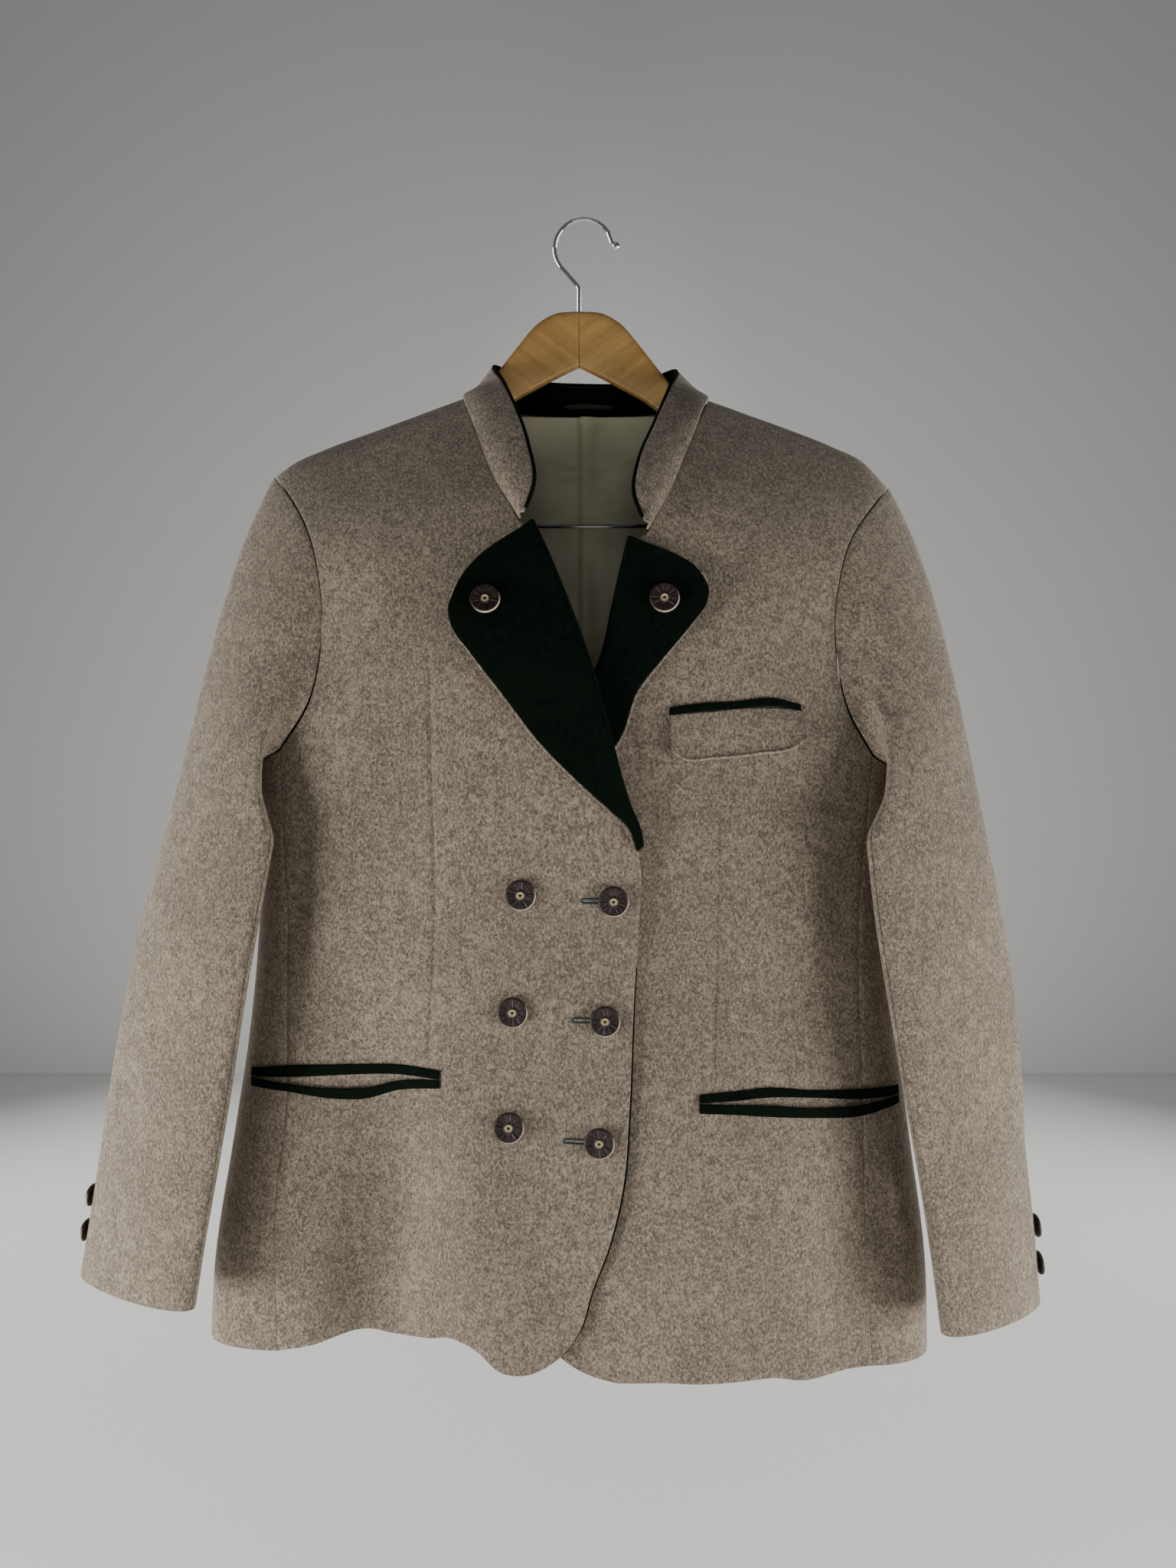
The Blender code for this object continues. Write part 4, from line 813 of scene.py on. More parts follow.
def rear_hole(side, start, rows=60):
    """The armhole's back half, led from this start up to the shoulder."""
    hole = through(back_armhole(side), np.linspace(0, 1, rows))
    return hole + (start - hole[0]) * np.linspace(1, 0, rows)[:, None]


def back_grid(side):
    angle, z = seam_angles(side)
    z = np.linspace(z[0], z[-1], len(z))
    lower = np.stack([ring_x(side, BACK_SEAM_SHARE * angle, z), z], -1)
    outer = np.concatenate([lower, rear_hole(side, lower[-1])[1:]])
    inner_z = np.linspace(BACK_HEM, BACK_NECK, len(outer))
    inner = np.stack([centre_x(inner_z), inner_z], -1)
    neck_end = np.asarray(NECK[side][-1])
    shoulder_x = np.linspace(neck_end[0], outer[-1, 0], 37)
    shoulder = np.stack([shoulder_x, shoulder_line(shoulder_x)[..., 0]], -1)
    bend = (inner[-1], (inner[-1] + neck_end) / 2 - (0, 0.003), neck_end)
    scoop = through(bend, np.linspace(0, 1, 25))
    high = np.concatenate([scoop, shoulder[1:]])
    outer[-1] = high[-1]
    low = np.linspace(inner[0], outer[0], len(high))
    flat = coons(low, high, inner, outer)
    x, z = flat[..., 0], flat[..., 1]
    grid = np.stack([x, back_y(x, z), z], -1)
    grid[-1, 25:, 1] = middle_y(x[-1, 25:], 0)
    return grid


def body():
    for side, sign in SIGN.items():
        grid, wall = front_grid(side)
        cloth(side + "_front", grid, wall, "loden", (0, -1, 0))
        cloth(side + "_side", side_grid(side), LODEN, "loden", (sign, 0, 0))
        cloth(side + "_back", back_grid(side), LODEN, "loden", (0, 1, 0))


def sleeve_ring(side):
    """The armhole's points and how far round each lies: 0 at the shoulder, 0.5 under the arm."""
    front = on_front(*through(ARMHOLE[side][::-1], np.linspace(0, 1, 60)).T)
    front[0, 1] = middle_y(front[0, 0], 0)
    under = ring_point(side, *underarm(side).T)
    x, z = rear_hole(side, under[-1][[0, 2]]).T
    rear = np.stack([x, back_y(x, z), z], -1)
    rear[-1] = front[0]
    loop = np.concatenate([front[:-1], under[:-1], rear])
    steps = run_along(loop)
    return steps / steps[-1], loop


def sleeve_surface(side, around, cap_rows=34, rows=62):
    """The sleeve: a cubic sweep from the armhole to the upper section, then tilted ellipses."""
    sign, sections = SIGN[side], SLEEVE[side]
    share, loop = sleeve_ring(side)
    turn = np.mod(around, 1.0)
    start = np.stack([np.interp(turn, share, loop[:, i]) for i in range(3)], -1)
    low = ramp(abs(turn - 0.5), *UNDERARM_TURN)
    start[:, 2] += SLEEVE_LIFT_AT_UNDERARM * low
    start[:, 0] += sign * ARMHOLE_GAP
    section = spline(sections)
    top, bottom = sections[0][0], sections[-1][0]
    angle = 2 * math.pi * turn

    def slice_at(z):
        outer, inner, middle, half = np.moveaxis(section(z), -1, 0)
        centre = (outer + inner) / 2
        reach = abs(outer - inner) / 2
        long_half = np.sqrt(np.maximum(reach**2 - (half * math.sin(SLEEVE_TILT)) ** 2, 1e-6))
        long_half = long_half / math.cos(SLEEVE_TILT)
        a = long_half * np.cos(angle)
        b = half * np.sin(angle)
        x = centre + sign * (a * math.cos(SLEEVE_TILT) - b * math.sin(SLEEVE_TILT))
        y = middle + a * math.sin(SLEEVE_TILT) - b * math.cos(SLEEVE_TILT)
        return np.stack([x, y, np.full(len(turn), float(z))], -1)

    first = slice_at(top)
    down = slice_at(top - SLEEVE_STEP) - first
    length = np.linalg.norm(first - start, axis=1)[:, None]
    straight = np.full(len(turn), float(sign))
    way_z = CAP_WAY_Z[0] + CAP_WAY_Z[1] * low
    outward = unit(np.stack([straight, CAP_WAY_Y * np.sin(angle), way_z], -1))
    begin = outward * length
    begin[:, 0] *= CAP_BULGE[0] + CAP_BULGE[1] * low
    end = down / SLEEVE_STEP * length
    grid = []
    for t in np.linspace(0, 1, cap_rows):
        s = smooth(t)
        grid.append((1 - s) * start + s * first + t * (1 - t) ** 2 * begin - t * t * (1 - t) * end)
    grid += [slice_at(z) for z in np.linspace(top, bottom, rows)[1:]]
    return np.array(grid)


def sleeve_creased(grid, centre, around):
    """Adds the sleeve's creases: bells on slanting lines, faded at the armhole and the cuff."""
    turn = np.mod(around, 1.0)[None]
    z = grid[..., 2]
    height = np.zeros(z.shape)
    for at, at_z, half_turn, half_z, slope, rise in SLEEVE_CREASES:
        off = turn - at
        across = (z - at_z - slope * off) / half_z
        height += rise * np.exp(-(across**2) - (off / half_turn) ** 2)
    rows = np.arange(len(grid))[:, None]
    fade = smooth(rows / 14) * smooth((len(grid) - 1 - rows) / 10)
    return grid + normals_of(grid, grid - centre) * (height * fade)[..., None]


def sleeves():
    for side in SIGN:
        whole = sleeve_surface(side, np.linspace(0, 1, 33)[:-1])
        centre = whole.mean(axis=1, keepdims=True)
        for name, around in (
            ("top_sleeve", np.linspace(TOP_SLEEVE_FROM, TOP_SLEEVE_TO, 62)),
            ("under_sleeve", np.linspace(TOP_SLEEVE_TO, 1 + TOP_SLEEVE_FROM, 56)),
        ):
            grid = sleeve_creased(sleeve_surface(side, around), centre, around)
            cloth(f"{side}_{name}", grid, LODEN, "loden", grid - centre)


def lapel_grid(side, outside, inside_length, shy, rows=110):
    """Rows up the lapel; across, from inside the front round the fold and out to the lapel's edge.

    The top edge bows up, and the tip is rounded by a pull toward the lapel's middle.
    """
    up = 1 - np.linspace(1, 0, rows) ** 1.3
    root = through(LAPEL_ROLL[side], up)
    rim = through(LAPEL_EDGE[side], up)
    width = np.linalg.norm(rim - root, axis=1)
    way = (rim - root) / width[:, None]
    radius = FOLD_RADIUS_LOW + (FOLD_RADIUS_HIGH - FOLD_RADIUS_LOW) * smooth((up - 0.45) / 0.5)
    turn = np.linspace(-math.pi / 2, -3 * math.pi / 2, 13)
    arc_out = (radius[:, None] + outside) * np.cos(turn)
    arc_up = radius[:, None] + (radius[:, None] + outside) * np.sin(turn)
    run = np.linspace(0, 1, 30)[1:]
    shy = shy * smooth((0.90 - up) / 0.25)
    run_out = run * (width - shy)[:, None]
    rise = TIP_STAND_OFF * smooth((up - 0.5) / 0.4)[:, None] * run * run
    press = 2 * (radius[:, None] - FOLD_RADIUS_LOW) * LAPEL_PRESS * np.sin(math.pi * run)
    run_up = 2 * radius[:, None] + outside + rise - press
    out = np.concatenate([arc_out - ROLL_GAP, run_out], axis=1)
    height = np.concatenate([arc_up, run_up], axis=1)
    if inside_length:
        back = np.linspace(1, 0.15, 6) * inside_length
        out = np.concatenate([np.broadcast_to(back, (len(up), 6)), out], axis=1)
        height = np.concatenate([np.full((len(up), 6), -INSIDE_GAP), height], axis=1)
    share = np.clip(out / out[:, -1:], 0, 1)
    above = np.stack([-way[:, 1], way[:, 0]], -1) * np.sign(way[:, :1])
    bow = LAPEL_BOW[side] * np.sin(math.pi * share**1.2) * smooth((up - 0.72) / 0.28)[:, None]
    near_tip = np.clip((up[:, None] - 0.86) / 0.14, 0, 1) * np.clip((share - 0.78) / 0.22, 0, 1)
    pull = TIP_ROUNDING[side] * near_tip**2
    x = root[:, None, 0] + way[:, None, 0] * (out - pull) + above[:, None, 0] * (bow - pull)
    z = root[:, None, 1] + way[:, None, 1] * (out - pull) + above[:, None, 1] * (bow - pull)
    return on_front(x, z, lap(side, x, z) + height)


def facing_way(grid, way, columns=20):
    """A way for the last columns only, where the cloth lies flat."""
    outward = np.zeros_like(grid)
    outward[:, -columns:] = way
    return outward


def lapels():
    for side in SIGN:
        name = side + "_lapel"
        under = lapel_grid(side, 0.0, 0.0, 0.0)
        cloth(name, under, LODEN, "loden", facing_way(under, (0, 1, 0)))
        over = lapel_grid(side, LAID_GAP, FACING_INSIDE, FACING_SHY)
        cloth(name + "_facing", over, FELT, "green_felt", facing_way(over, (0, -1, 0)))


def edge_facing():
    """The felt strip inside the right front's edge, a little proud of it."""
    edge = through(FRONT_EDGE["right"], np.linspace(0, 1, 161))
    edge = edge[edge[:, 1] < EDGE_FACING_TOP][10:]
    along = unit(np.gradient(edge, axis=0))
    out = np.stack([along[:, 1], -along[:, 0]], -1)
    reach = np.linspace(EDGE_FACING_OUT, -EDGE_FACING_IN, 9)[:, None, None]
    flat = edge + reach * out
    x, z = flat[..., 0], flat[..., 1]
    grid = on_front(x, z, overlap(x, z) - INSIDE_GAP)
    cloth("right_edge_facing", grid, FELT, "green_felt", (0, 1, 0))


def collar_band(shares, rise):
    seam = through(COLLAR_SEAM, shares)
    edge = through(COLLAR_EDGE, shares)
    rise = rise[:, None, None]
    outward = (seam + edge) / 2 - np.array(NECK_MIDDLE)
    outward[:, 2] = 0
    outward = unit(outward)
    band = (1 - rise) * seam + rise * edge + COLLAR_BOW * np.sin(math.pi * rise) * outward
    return band, outward


def cord(name, points, radius, sides=10):
    """A round cord along points: a circle across the path at each, and a low tip at both ends."""
    along = unit(np.gradient(points, axis=0))
    side = unit(np.cross(along, (0.0, 1.0, 0.0)))
    other = np.cross(side, along)
    turn = np.linspace(0, 2 * math.pi, sides, endpoint=False)[None, :, None]
    rings = points[:, None] + radius * (side[:, None] * np.cos(turn) + other[:, None] * np.sin(turn))
    tips = points[[0, -1]] + along[[0, -1]] * radius * np.array([[-0.4], [0.4]])
    return ring_solid(name, rings, tips)


def collar():
    rise = np.linspace(0, 1, 17)
    rise[0] = -COLLAR_TURN_IN
    band, outward = collar_band(np.linspace(0, 1, 150), rise)
    x, y, z = np.moveaxis(band[1], -1, 0)
    z = z - COLLAR_TURN_DOWN
    on_back = np.stack([x, back_y(x, z) + LODEN + LAID_GAP, z], -1)
    at_back = ramp(y, *COLLAR_TURN_BACK)[:, None]
    band[0] = (1 - at_back) * band[0] + at_back * on_back
    cloth("collar", band, LODEN, "loden", outward)
    band = band[1:]
    inner = moved(band, -FELT - COLLAR_GAP, outward)
    cloth("collar_facing", inner[:, 2:-2], FELT, "green_felt", outward[2:-2])
    line = band[-1] + outward * (LODEN - FELT) / 2 + unit(band[-1] - band[0]) * PIPING_OUT
    piping = cord("collar_piping_cord", line[1:-1], PIPING_RADIUS)
    show(piping, "green_felt", ["collar_piping"])
    across = np.linspace(-0.5, 0.5, 41)
    strip, outward = collar_band(LOOP_MIDDLE + LOOP_SPAN * across, np.linspace(*LOOP_RISE, 5))
    middle = strip.mean(0)
    strip = middle + (strip - middle) * (1 - LOOP_TAPER * (2 * across[:, None]) ** 4)
    slack = LOOP_SLACK * np.cos(math.pi * across) ** 2
    grid = moved(strip, -(FELT + COLLAR_GAP + 2 * LAID_GAP), outward) - outward * slack[:, None]
    cloth("hanger_loop", grid, LOOP_WALL, "loop_weave", (0, -1, 0))


def strip_between(table, low, high, rows, columns):
    """x and z over the strip between two lines of a table, and the share of the way up it."""
    x = np.linspace(table[0][0], table[-1][0], columns)
    edges = spline(table)(x)
    up = np.linspace(0, 1, rows)[:, None]
    z = edges[:, low] * (1 - up) + edges[:, high] * up
    return np.broadcast_to(x, z.shape), z, up


def pockets():
    for side in SIGN:
        for name, high, low, sag in (("upper", 0, 1, 0.0), ("lower", 2, 3, WELT_SAG)):
            x, z, up = strip_between(HIP_POCKET[side], low, high, 8, 70)
            belly = sag * np.sin(math.pi * np.linspace(0, 1, z.shape[1])) * up
            grid = on_front(x, z, lap(side, x, z) + LODEN + WELT_LIFT + belly)
            welt = f"{side}_hip_welt_{name}"
            cloth(welt, grid, FELT, "green_felt", (0, -1, 0))
    x, z, up = strip_between(CHEST_WELT, 1, 0, 8, 50)
    grid = on_front(x, z, LODEN + LAID_GAP + 0 * z)
    cloth("chest_welt", grid, FELT, "green_felt", (0, -1, 0))
    x, z, up = strip_between(CHEST_FLAP, 1, 0, 22, 56)
    off_middle = abs(np.linspace(0, 1, z.shape[1]) - 0.35) / 0.65
    stand = (FLAP_STAND_OFF + FLAP_CURL * smooth(off_middle)) * (1 - up) ** 0.9
    z = z - SEAM_GAP * up
    bead = FLAP_BEAD * np.exp(-(((z - z[0]) / FLAP_BEAD_WIDTH) ** 2))
    grid = on_front(x, z, LODEN + LAID_GAP + stand)
    cloth("chest_flap", grid, LODEN + bead, "loden", (0, -1, 0))


def back_lining():
    """The lining in the neck: it follows the back, with a centre pleat and soft folds."""
    x = np.linspace(*LINING_X, 130)
    z_top = np.minimum(LINING_TOP, shoulder_line(x)[..., 0] - LINING_UNDER_SHOULDER)
    rise = np.linspace(0, 1, 100)[:, None]
    z = LINING_LOW * (1 - rise) + z_top * rise
    x = np.broadcast_to(x, z.shape)
    pleat = LINING_PLEAT * smooth((x + 0.0035) / 0.0012) * smooth((0.016 - x) / 0.016)
    folds = LINING_RIPPLE * np.sin(x * 105 + 6 * z) * np.exp(-(((z + 0.27) / 0.07) ** 2))
    for slope, level, half_width, height in LINING_FOLDS:
        folds = folds + height * np.exp(-(((z - level - slope * x) / half_width) ** 2))
    y = back_y(x, z) - LINING_STAND_OFF - np.clip(pleat + folds, *LINING_REACH)
    grid = np.stack([x, y, z], -1)
    cloth("back_lining", grid, LINING, "lining", (0, -1, 0))


def button_mesh(name, place, normal, radius, seed):
    """A carved horn button: a dish with a rim and a boss, and uneven grooves that run outward.

    Its face is height(r) plus grooves(angle) faded toward the boss and the rim; it closes below.
    """
    height = BUTTON_HEIGHT * radius / BUTTON_RADIUS
    random = np.random.default_rng(seed)
    rings, face = np.array(BUTTON_FACE).T
    turn = np.linspace(0, 2 * math.pi, 72, endpoint=False)
    waves = sum(
        random.uniform(0.4, 1.0) * np.cos(n * turn + random.uniform(0, 6.3))
        for n in BUTTON_GROOVES
    )
    fade = smooth((rings - 0.30) / 0.12) * smooth((0.90 - rings) / 0.10)
    carved = face[:, None] + GROOVE_HEIGHT * fade[:, None] * waves[None]
    share = np.concatenate([rings[1:], BUTTON_BELOW[0]])[:, None]
    below = np.repeat(BUTTON_BELOW[1], len(turn)).reshape(-1, len(turn))
    level = np.concatenate([carved[1:], below])
    normal = unit(np.asarray(normal, float))
    side = unit(np.cross((0, 0, 1.0), normal))
    axes = np.stack([radius * side, radius * np.cross(normal, side), height * normal])
    local = np.stack([share * np.cos(turn), share * np.sin(turn), level], -1)
    tips = np.array(((0, 0, face[0]), (0, 0, 0)))
    uv = np.concatenate([local.reshape(-1, 3), tips])[:, :2]
    return ring_solid(name, place + local @ axes, place + tips @ axes, uv=uv)


def surface_frame(x, z, height):
    place = on_front(np.array(x), np.array(z), np.array(0.0))
    out = on_front(np.array(x), np.array(z), np.array(1.0)) - place
    return place + out * height, out


def lapel_place(side, x, z, gap):
    """A place on a lapel's felt and the way out of it, both weighted from the nearest grid points."""
    grid = lapel_grid(side, LAID_GAP, 0.0, FACING_SHY)
    far = np.hypot(grid[..., 0] - x, grid[..., 2] - z)
    near = (1 / (far + 0.0005) ** 4)[..., None]
    ways = normals_of(grid, facing_way(grid, (0, -1, 0)))
    way = unit((ways * near).sum((0, 1)))
    y = float((grid[..., 1:2] * near).sum() / near.sum())
    return np.array((x, y, z)) + way * (FELT + gap), way


def buttons():
    places = []
    for name, x, z in CLOSING_BUTTONS:
        height = float(overlap(np.array(x), np.array(z))) + LODEN + BUTTON_GAP
        places.append((name, *surface_frame(x, z, height), BUTTON_RADIUS))
    for side in SIGN:
        place = lapel_place(side, *LAPEL_BUTTON[side], LAPEL_BUTTON_GAP)
        places.append(("lapel_" + side, *place, BUTTON_RADIUS))
    for side, sign in SIGN.items():
        grid = sleeve_surface(side, CUFF_BUTTON_AT + np.array((-0.02, 0, 0.02)))
        for number, rise in enumerate(CUFF_BUTTON_HEIGHTS, 1):
            row = int(np.argmin(abs(grid[:, 1, 2] - (SLEEVE[side][-1][0] + rise))))
            way = unit(np.cross(grid[row, 2] - grid[row, 0], grid[row + 1, 1] - grid[row - 1, 1]))
            way = way * np.sign(way[0] * sign)
            place = grid[row, 1] + way * (LODEN + CUFF_BUTTON_GAP)
            places.append((f"cuff_{side}_{number}", place, way, CUFF_BUTTON_RADIUS))
    for seed, (name, place, way, radius) in enumerate(places):
        mesh = button_mesh("horn_button_" + name, place, way, radius, seed)
        show(mesh, "horn", ["button_" + name])


def buttonhole(name, start, end, out, half_width=0.0013, radius=0.00075, finish="green_thread"):
    """A worked buttonhole: a flat ring of thread round a slit, its radius waved by the stitches."""
    along = unit(end - start)
    side = np.cross(out, along)
    turn = np.linspace(math.pi / 2, 3 * math.pi / 2, 16)[:, None]
    bend = (half_width + radius * 0.4) * (np.cos(turn) * along + np.sin(turn) * side)
    left, right = start + bend, end - bend
    path = np.concatenate([left, right, left[:1]])
    lengths = run_along(path)
    even = np.linspace(0, lengths[-1], int(lengths[-1] / 0.00022))
    path = np.stack([np.interp(even, lengths, path[:, i]) for i in range(3)], -1)[:-1]
    across = np.cross(unit(np.roll(path, -1, 0) - np.roll(path, 1, 0)), out)
    turn = np.linspace(0, 2 * math.pi, 8, endpoint=False)[None, :, None]
    size = radius * (1 + STITCH_WAVE * np.cos(2 * math.pi * even[:-1] / STITCH_PITCH))
    ring = across[:, None] * np.cos(turn) + out * 0.75 * np.sin(turn)
    rings = path[:, None] + ring * size[:, None, None]
    show(ring_solid(name, rings, looped=True), finish)


def buttonholes():
    for number, (x, z, x_end, z_end) in enumerate(BUTTONHOLES, 1):
        ends = []
        for place in ((x, z), (x_end, z_end)):
            height = float(overlap(*np.array(place))) + LODEN + THREAD_LIFT
            ends.append(surface_frame(*place, height))
        buttonhole(f"buttonhole_{number}", ends[0][0], ends[1][0], ends[0][1])
    for side, x, z, x_end, z_end in LAPEL_BUTTONHOLES:
        start, out = lapel_place(side, x, z, 2 * THREAD_LIFT)
        end, _ = lapel_place(side, x_end, z_end, 2 * THREAD_LIFT)
        buttonhole("lapel_buttonhole_" + side, start, end, out, 0.0006, 0.0005, "green_felt")


def by_node(operation, swapped=False):
    def operator(first, second):
        values = (second, first) if swapped else (first, second)
        return first.maths(operation, *values)

    return operator


class Value:
    """A socket whose operators add Math nodes to its tree."""

    def __init__(self, tree, socket):
        self.tree, self.socket = tree, socket

    def maths(self, operation, *values, clamp=False):
        node = self.tree.nodes.new("ShaderNodeMath")
        node.operation = operation
        node.use_clamp = clamp
        for index, value in enumerate(values):
            plug(self.tree, value, node.inputs[index])
        return Value(self.tree, node.outputs[0])

    __add__ = by_node("ADD")
    __radd__ = by_node("ADD", swapped=True)
    __sub__ = by_node("SUBTRACT")
    __rsub__ = by_node("SUBTRACT", swapped=True)
    __mul__ = by_node("MULTIPLY")
    __rmul__ = by_node("MULTIPLY", swapped=True)
    __pow__ = by_node("POWER")

    def over(self, low, high):
        """0 below low, 1 above high, even in between."""
        return self.maths("MULTIPLY", self - low, 1 / (high - low), clamp=True)


def plug(tree, value, socket):
    if isinstance(value, Value):
        tree.links.new(value.socket, socket)
    elif isinstance(value, (tuple, list)) and len(value) == 3 and socket.type == "RGBA":
        socket.default_value = (*value, 1)
    else:
        socket.default_value = value


class Finish:
    """A material with one Principled shader, and short ways to add nodes to it."""

    def __init__(self, name, **constants):
        self.material = bpy.data.materials.new(name)
        self.material.use_nodes = True
        self.tree = self.material.node_tree
        self.shader = self.tree.nodes["Principled BSDF"]
        self.set(**constants)
        where = self.tree.nodes.new("ShaderNodeTexCoord")
        self.place = Value(self.tree, where.outputs["Object"])
        self.cut = Value(self.tree, where.outputs["UV"])

    def node(self, kind, settings=(), output=0, **sockets):
        made = self.tree.nodes.new(kind)
        for key, value in dict(settings).items():
            setattr(made, key, value)
        for key, value in sockets.items():
            plug(self.tree, value, made.inputs[key.replace("_", " ")])
        return Value(self.tree, made.outputs[output])

    def noise(self, scale, detail=2.0, where=None, **more):
        where = where or self.place
        return self.node("ShaderNodeTexNoise", Vector=where, Scale=scale, Detail=detail, **more)

    def fibres(self, scale, detail, turn=(0, 0, 0), where=None, **more):
        """Noise with its own scale along each axis."""
        where = where or self.place
        where = self.node("ShaderNodeMapping", Vector=where, Scale=scale, Rotation=turn)
        return self.noise(1.0, detail, where, **more)

    def mix(self, mask, first, second):
        made = self.tree.nodes.new("ShaderNodeMix")
        made.data_type = "RGBA"
        plug(self.tree, mask, made.inputs[0])
        plug(self.tree, first, made.inputs[6])
        plug(self.tree, second, made.inputs[7])
        return Value(self.tree, made.outputs[2])

    def parts(self, vector):
        made = self.tree.nodes.new("ShaderNodeSeparateXYZ")
        plug(self.tree, vector, made.inputs[0])
        return [Value(self.tree, socket) for socket in made.outputs]

    def set(self, **values):
        for key, value in values.items():
            plug(self.tree, value, self.shader.inputs[key.replace("_", " ")])

    def bump(self, height, strength, distance):
        normal = self.node("ShaderNodeBump", Height=height, Strength=strength, Distance=distance)
        self.set(Normal=normal)


def loden_finish():
    """Milled wool: a heathered taupe of light and dark fibres that lie every way, with a soft nap."""
    finish = Finish("loden", Roughness=0.95, Specular_IOR_Level=0.15)
    finish.set(Sheen_Weight=0.35, Sheen_Roughness=0.6, Sheen_Tint=(0.80, 0.74, 0.66, 1.0))
    upright = finish.fibres((2600, 2600, 700), 3.0)
    slanted = finish.fibres((2400, 2400, 600), 3.0, (0.0, 0.7, 0.0))
    leaning = finish.fibres((2400, 2400, 650), 2.0, (0.0, -0.9, 0.2))
    flecks = finish.noise(430, 4.0, Roughness=0.62)
    tufts = finish.fibres((520, 520, 400), 5.0, Roughness=0.66)
    clouds = finish.noise(120, 4.0, Roughness=0.6)
    drifts = finish.noise(15, 3.0)
    light = (upright.over(0.56, 0.66) + slanted.over(0.57, 0.67)) * 0.5
    dark = (leaning.over(0.55, 0.65) + flecks.over(0.52, 0.68)) * 0.5
    base = finish.mix(clouds.over(0.36, 0.62), (0.128, 0.099, 0.067), (0.262, 0.208, 0.148))
    base = finish.mix(drifts.over(0.44, 0.66) * 0.55, base, (0.118, 0.092, 0.064))
    base = finish.mix(tufts.over(0.50, 0.62) * 0.85, base, (0.060, 0.045, 0.032))
    base = finish.mix((1 - tufts).over(0.52, 0.63) * 0.70, base, (0.400, 0.326, 0.238))
    base = finish.mix(light * 0.72, base, (0.56, 0.49, 0.39))
    base = finish.mix(dark * 0.68, base, (0.052, 0.038, 0.028))
    finish.set(Base_Color=base)
    nap = flecks * 0.8 + upright * 0.5 + slanted * 0.5 + tufts * 0.5
    finish.bump(nap, 0.6, 0.0012)
    return finish.material


def felt_finish():
    """Dense felt, nearly black green, with a fine lint and slightly worn paler patches."""
    finish = Finish("green_felt", Roughness=0.95, Specular_IOR_Level=0.06)
    finish.set(Sheen_Weight=0.03, Sheen_Roughness=0.5, Sheen_Tint=(0.45, 0.62, 0.52, 1.0))
    lint = finish.noise(900, 3.0)
    pile = finish.noise(260, 4.0)
    wear = finish.noise(28, 3.0)
    base = finish.mix(pile.over(0.35, 0.7), (0.0009, 0.0032, 0.0015), (0.0022, 0.0066, 0.0030))
    base = finish.mix(wear.over(0.5, 0.75) * 0.3, base, (0.0045, 0.0100, 0.0052))
    base = finish.mix(lint.over(0.66, 0.74) * 0.25, base, (0.024, 0.032, 0.022))
    finish.set(Base_Color=base)
    finish.bump(lint * 0.5 + pile * 0.8, 0.4, 0.0007)
    return finish.material


def lining_finish():
    """Sage satin: fine warp lines under a soft gloss that changes a little from fold to fold."""
    finish = Finish("back_lining", Roughness=0.42, Sheen_Weight=0.15, Specular_IOR_Level=0.5)
    warp = finish.fibres((2600, 2600, 60), 2.0)
    weft = finish.fibres((80, 80, 3000), 1.0)
    cloud = finish.noise(24, 2.0)
    base = finish.mix(cloud.over(0.3, 0.7), (0.420, 0.395, 0.245), (0.550, 0.510, 0.335))
    base = finish.mix(warp.over(0.5, 0.7) * 0.25, base, (0.62, 0.59, 0.42))
    finish.set(Base_Color=base, Roughness=0.34 + 0.16 * weft)
    finish.bump(warp * 0.6 + weft * 0.4, 0.18, 0.0003)
    return finish.material


def horn_finish():
    """Stag horn: dark grooves that run outward, a cream rim on one side, its lower side, which is a
    painted highlight, a cream boss, and a near-black slot in the middle that is painted shade for the
    button's hole.
    """
    finish = Finish("horn", Specular_IOR_Level=0.4, Coat_Weight=0.08, Coat_Roughness=0.25)
    x, y, _ = finish.parts(finish.cut)
    radius = (x * x + y * y) ** 0.5
    angle = y.maths("ARCTAN2", y, x)
    wander = finish.noise(60, 1.0) * 2.0
    spoke = finish.node("ShaderNodeCombineXYZ", X=angle * 3.2, Y=radius * 1.2, Z=wander)
    streak = finish.noise(4.5, 4.0, spoke, Roughness=0.7)
    body = finish.mix(streak.over(0.40, 0.62), (0.006, 0.0022, 0.0014), (0.026, 0.0088, 0.0050))
    body = finish.mix(streak.over(0.64, 0.76) * 0.25, body, (0.13, 0.06, 0.030))
    cream = (0.52, 0.45, 0.33)
    # Painted highlight: the rim turns cream almost only on its lower side, where the low lamps light
    # it.
    side = (x * 0.6 - y * 0.8).over(0.10, 0.75)
    rim = radius.over(0.91, 0.95) * (0.02 + 0.90 * side)
    boss = 1 - radius.over(0.20, 0.27)
    # Painted shade: a near-black slot in the middle stands for the shade inside the button's hole,
    # which is not modelled.
    hole_painted_shade = (1 - (x * x).over(0.012, 0.016)) * (1 - (y * y).over(0.0024, 0.0036))
    base = finish.mix(rim, body, cream)
    base = finish.mix(boss * 0.85, base, (0.52, 0.39, 0.19))
    base = finish.mix(hole_painted_shade, base, (0.006, 0.004, 0.003))
    finish.set(Base_Color=base, Roughness=0.34 + 0.25 * streak)
    finish.bump(streak, 0.5, 0.0006)
    return finish.material


def thread_finish():
    """Buttonhole silk, dark teal green."""
    finish = Finish("green_thread", Roughness=0.6, Sheen_Weight=0.2)
    tone = finish.noise(1400, 2.0)
    teal = finish.mix(tone.over(0.35, 0.65), (0.004, 0.020, 0.018), (0.012, 0.045, 0.040))
    finish.set(Base_Color=teal)
    finish.bump(tone, 0.3, 0.0003)
    return finish.material


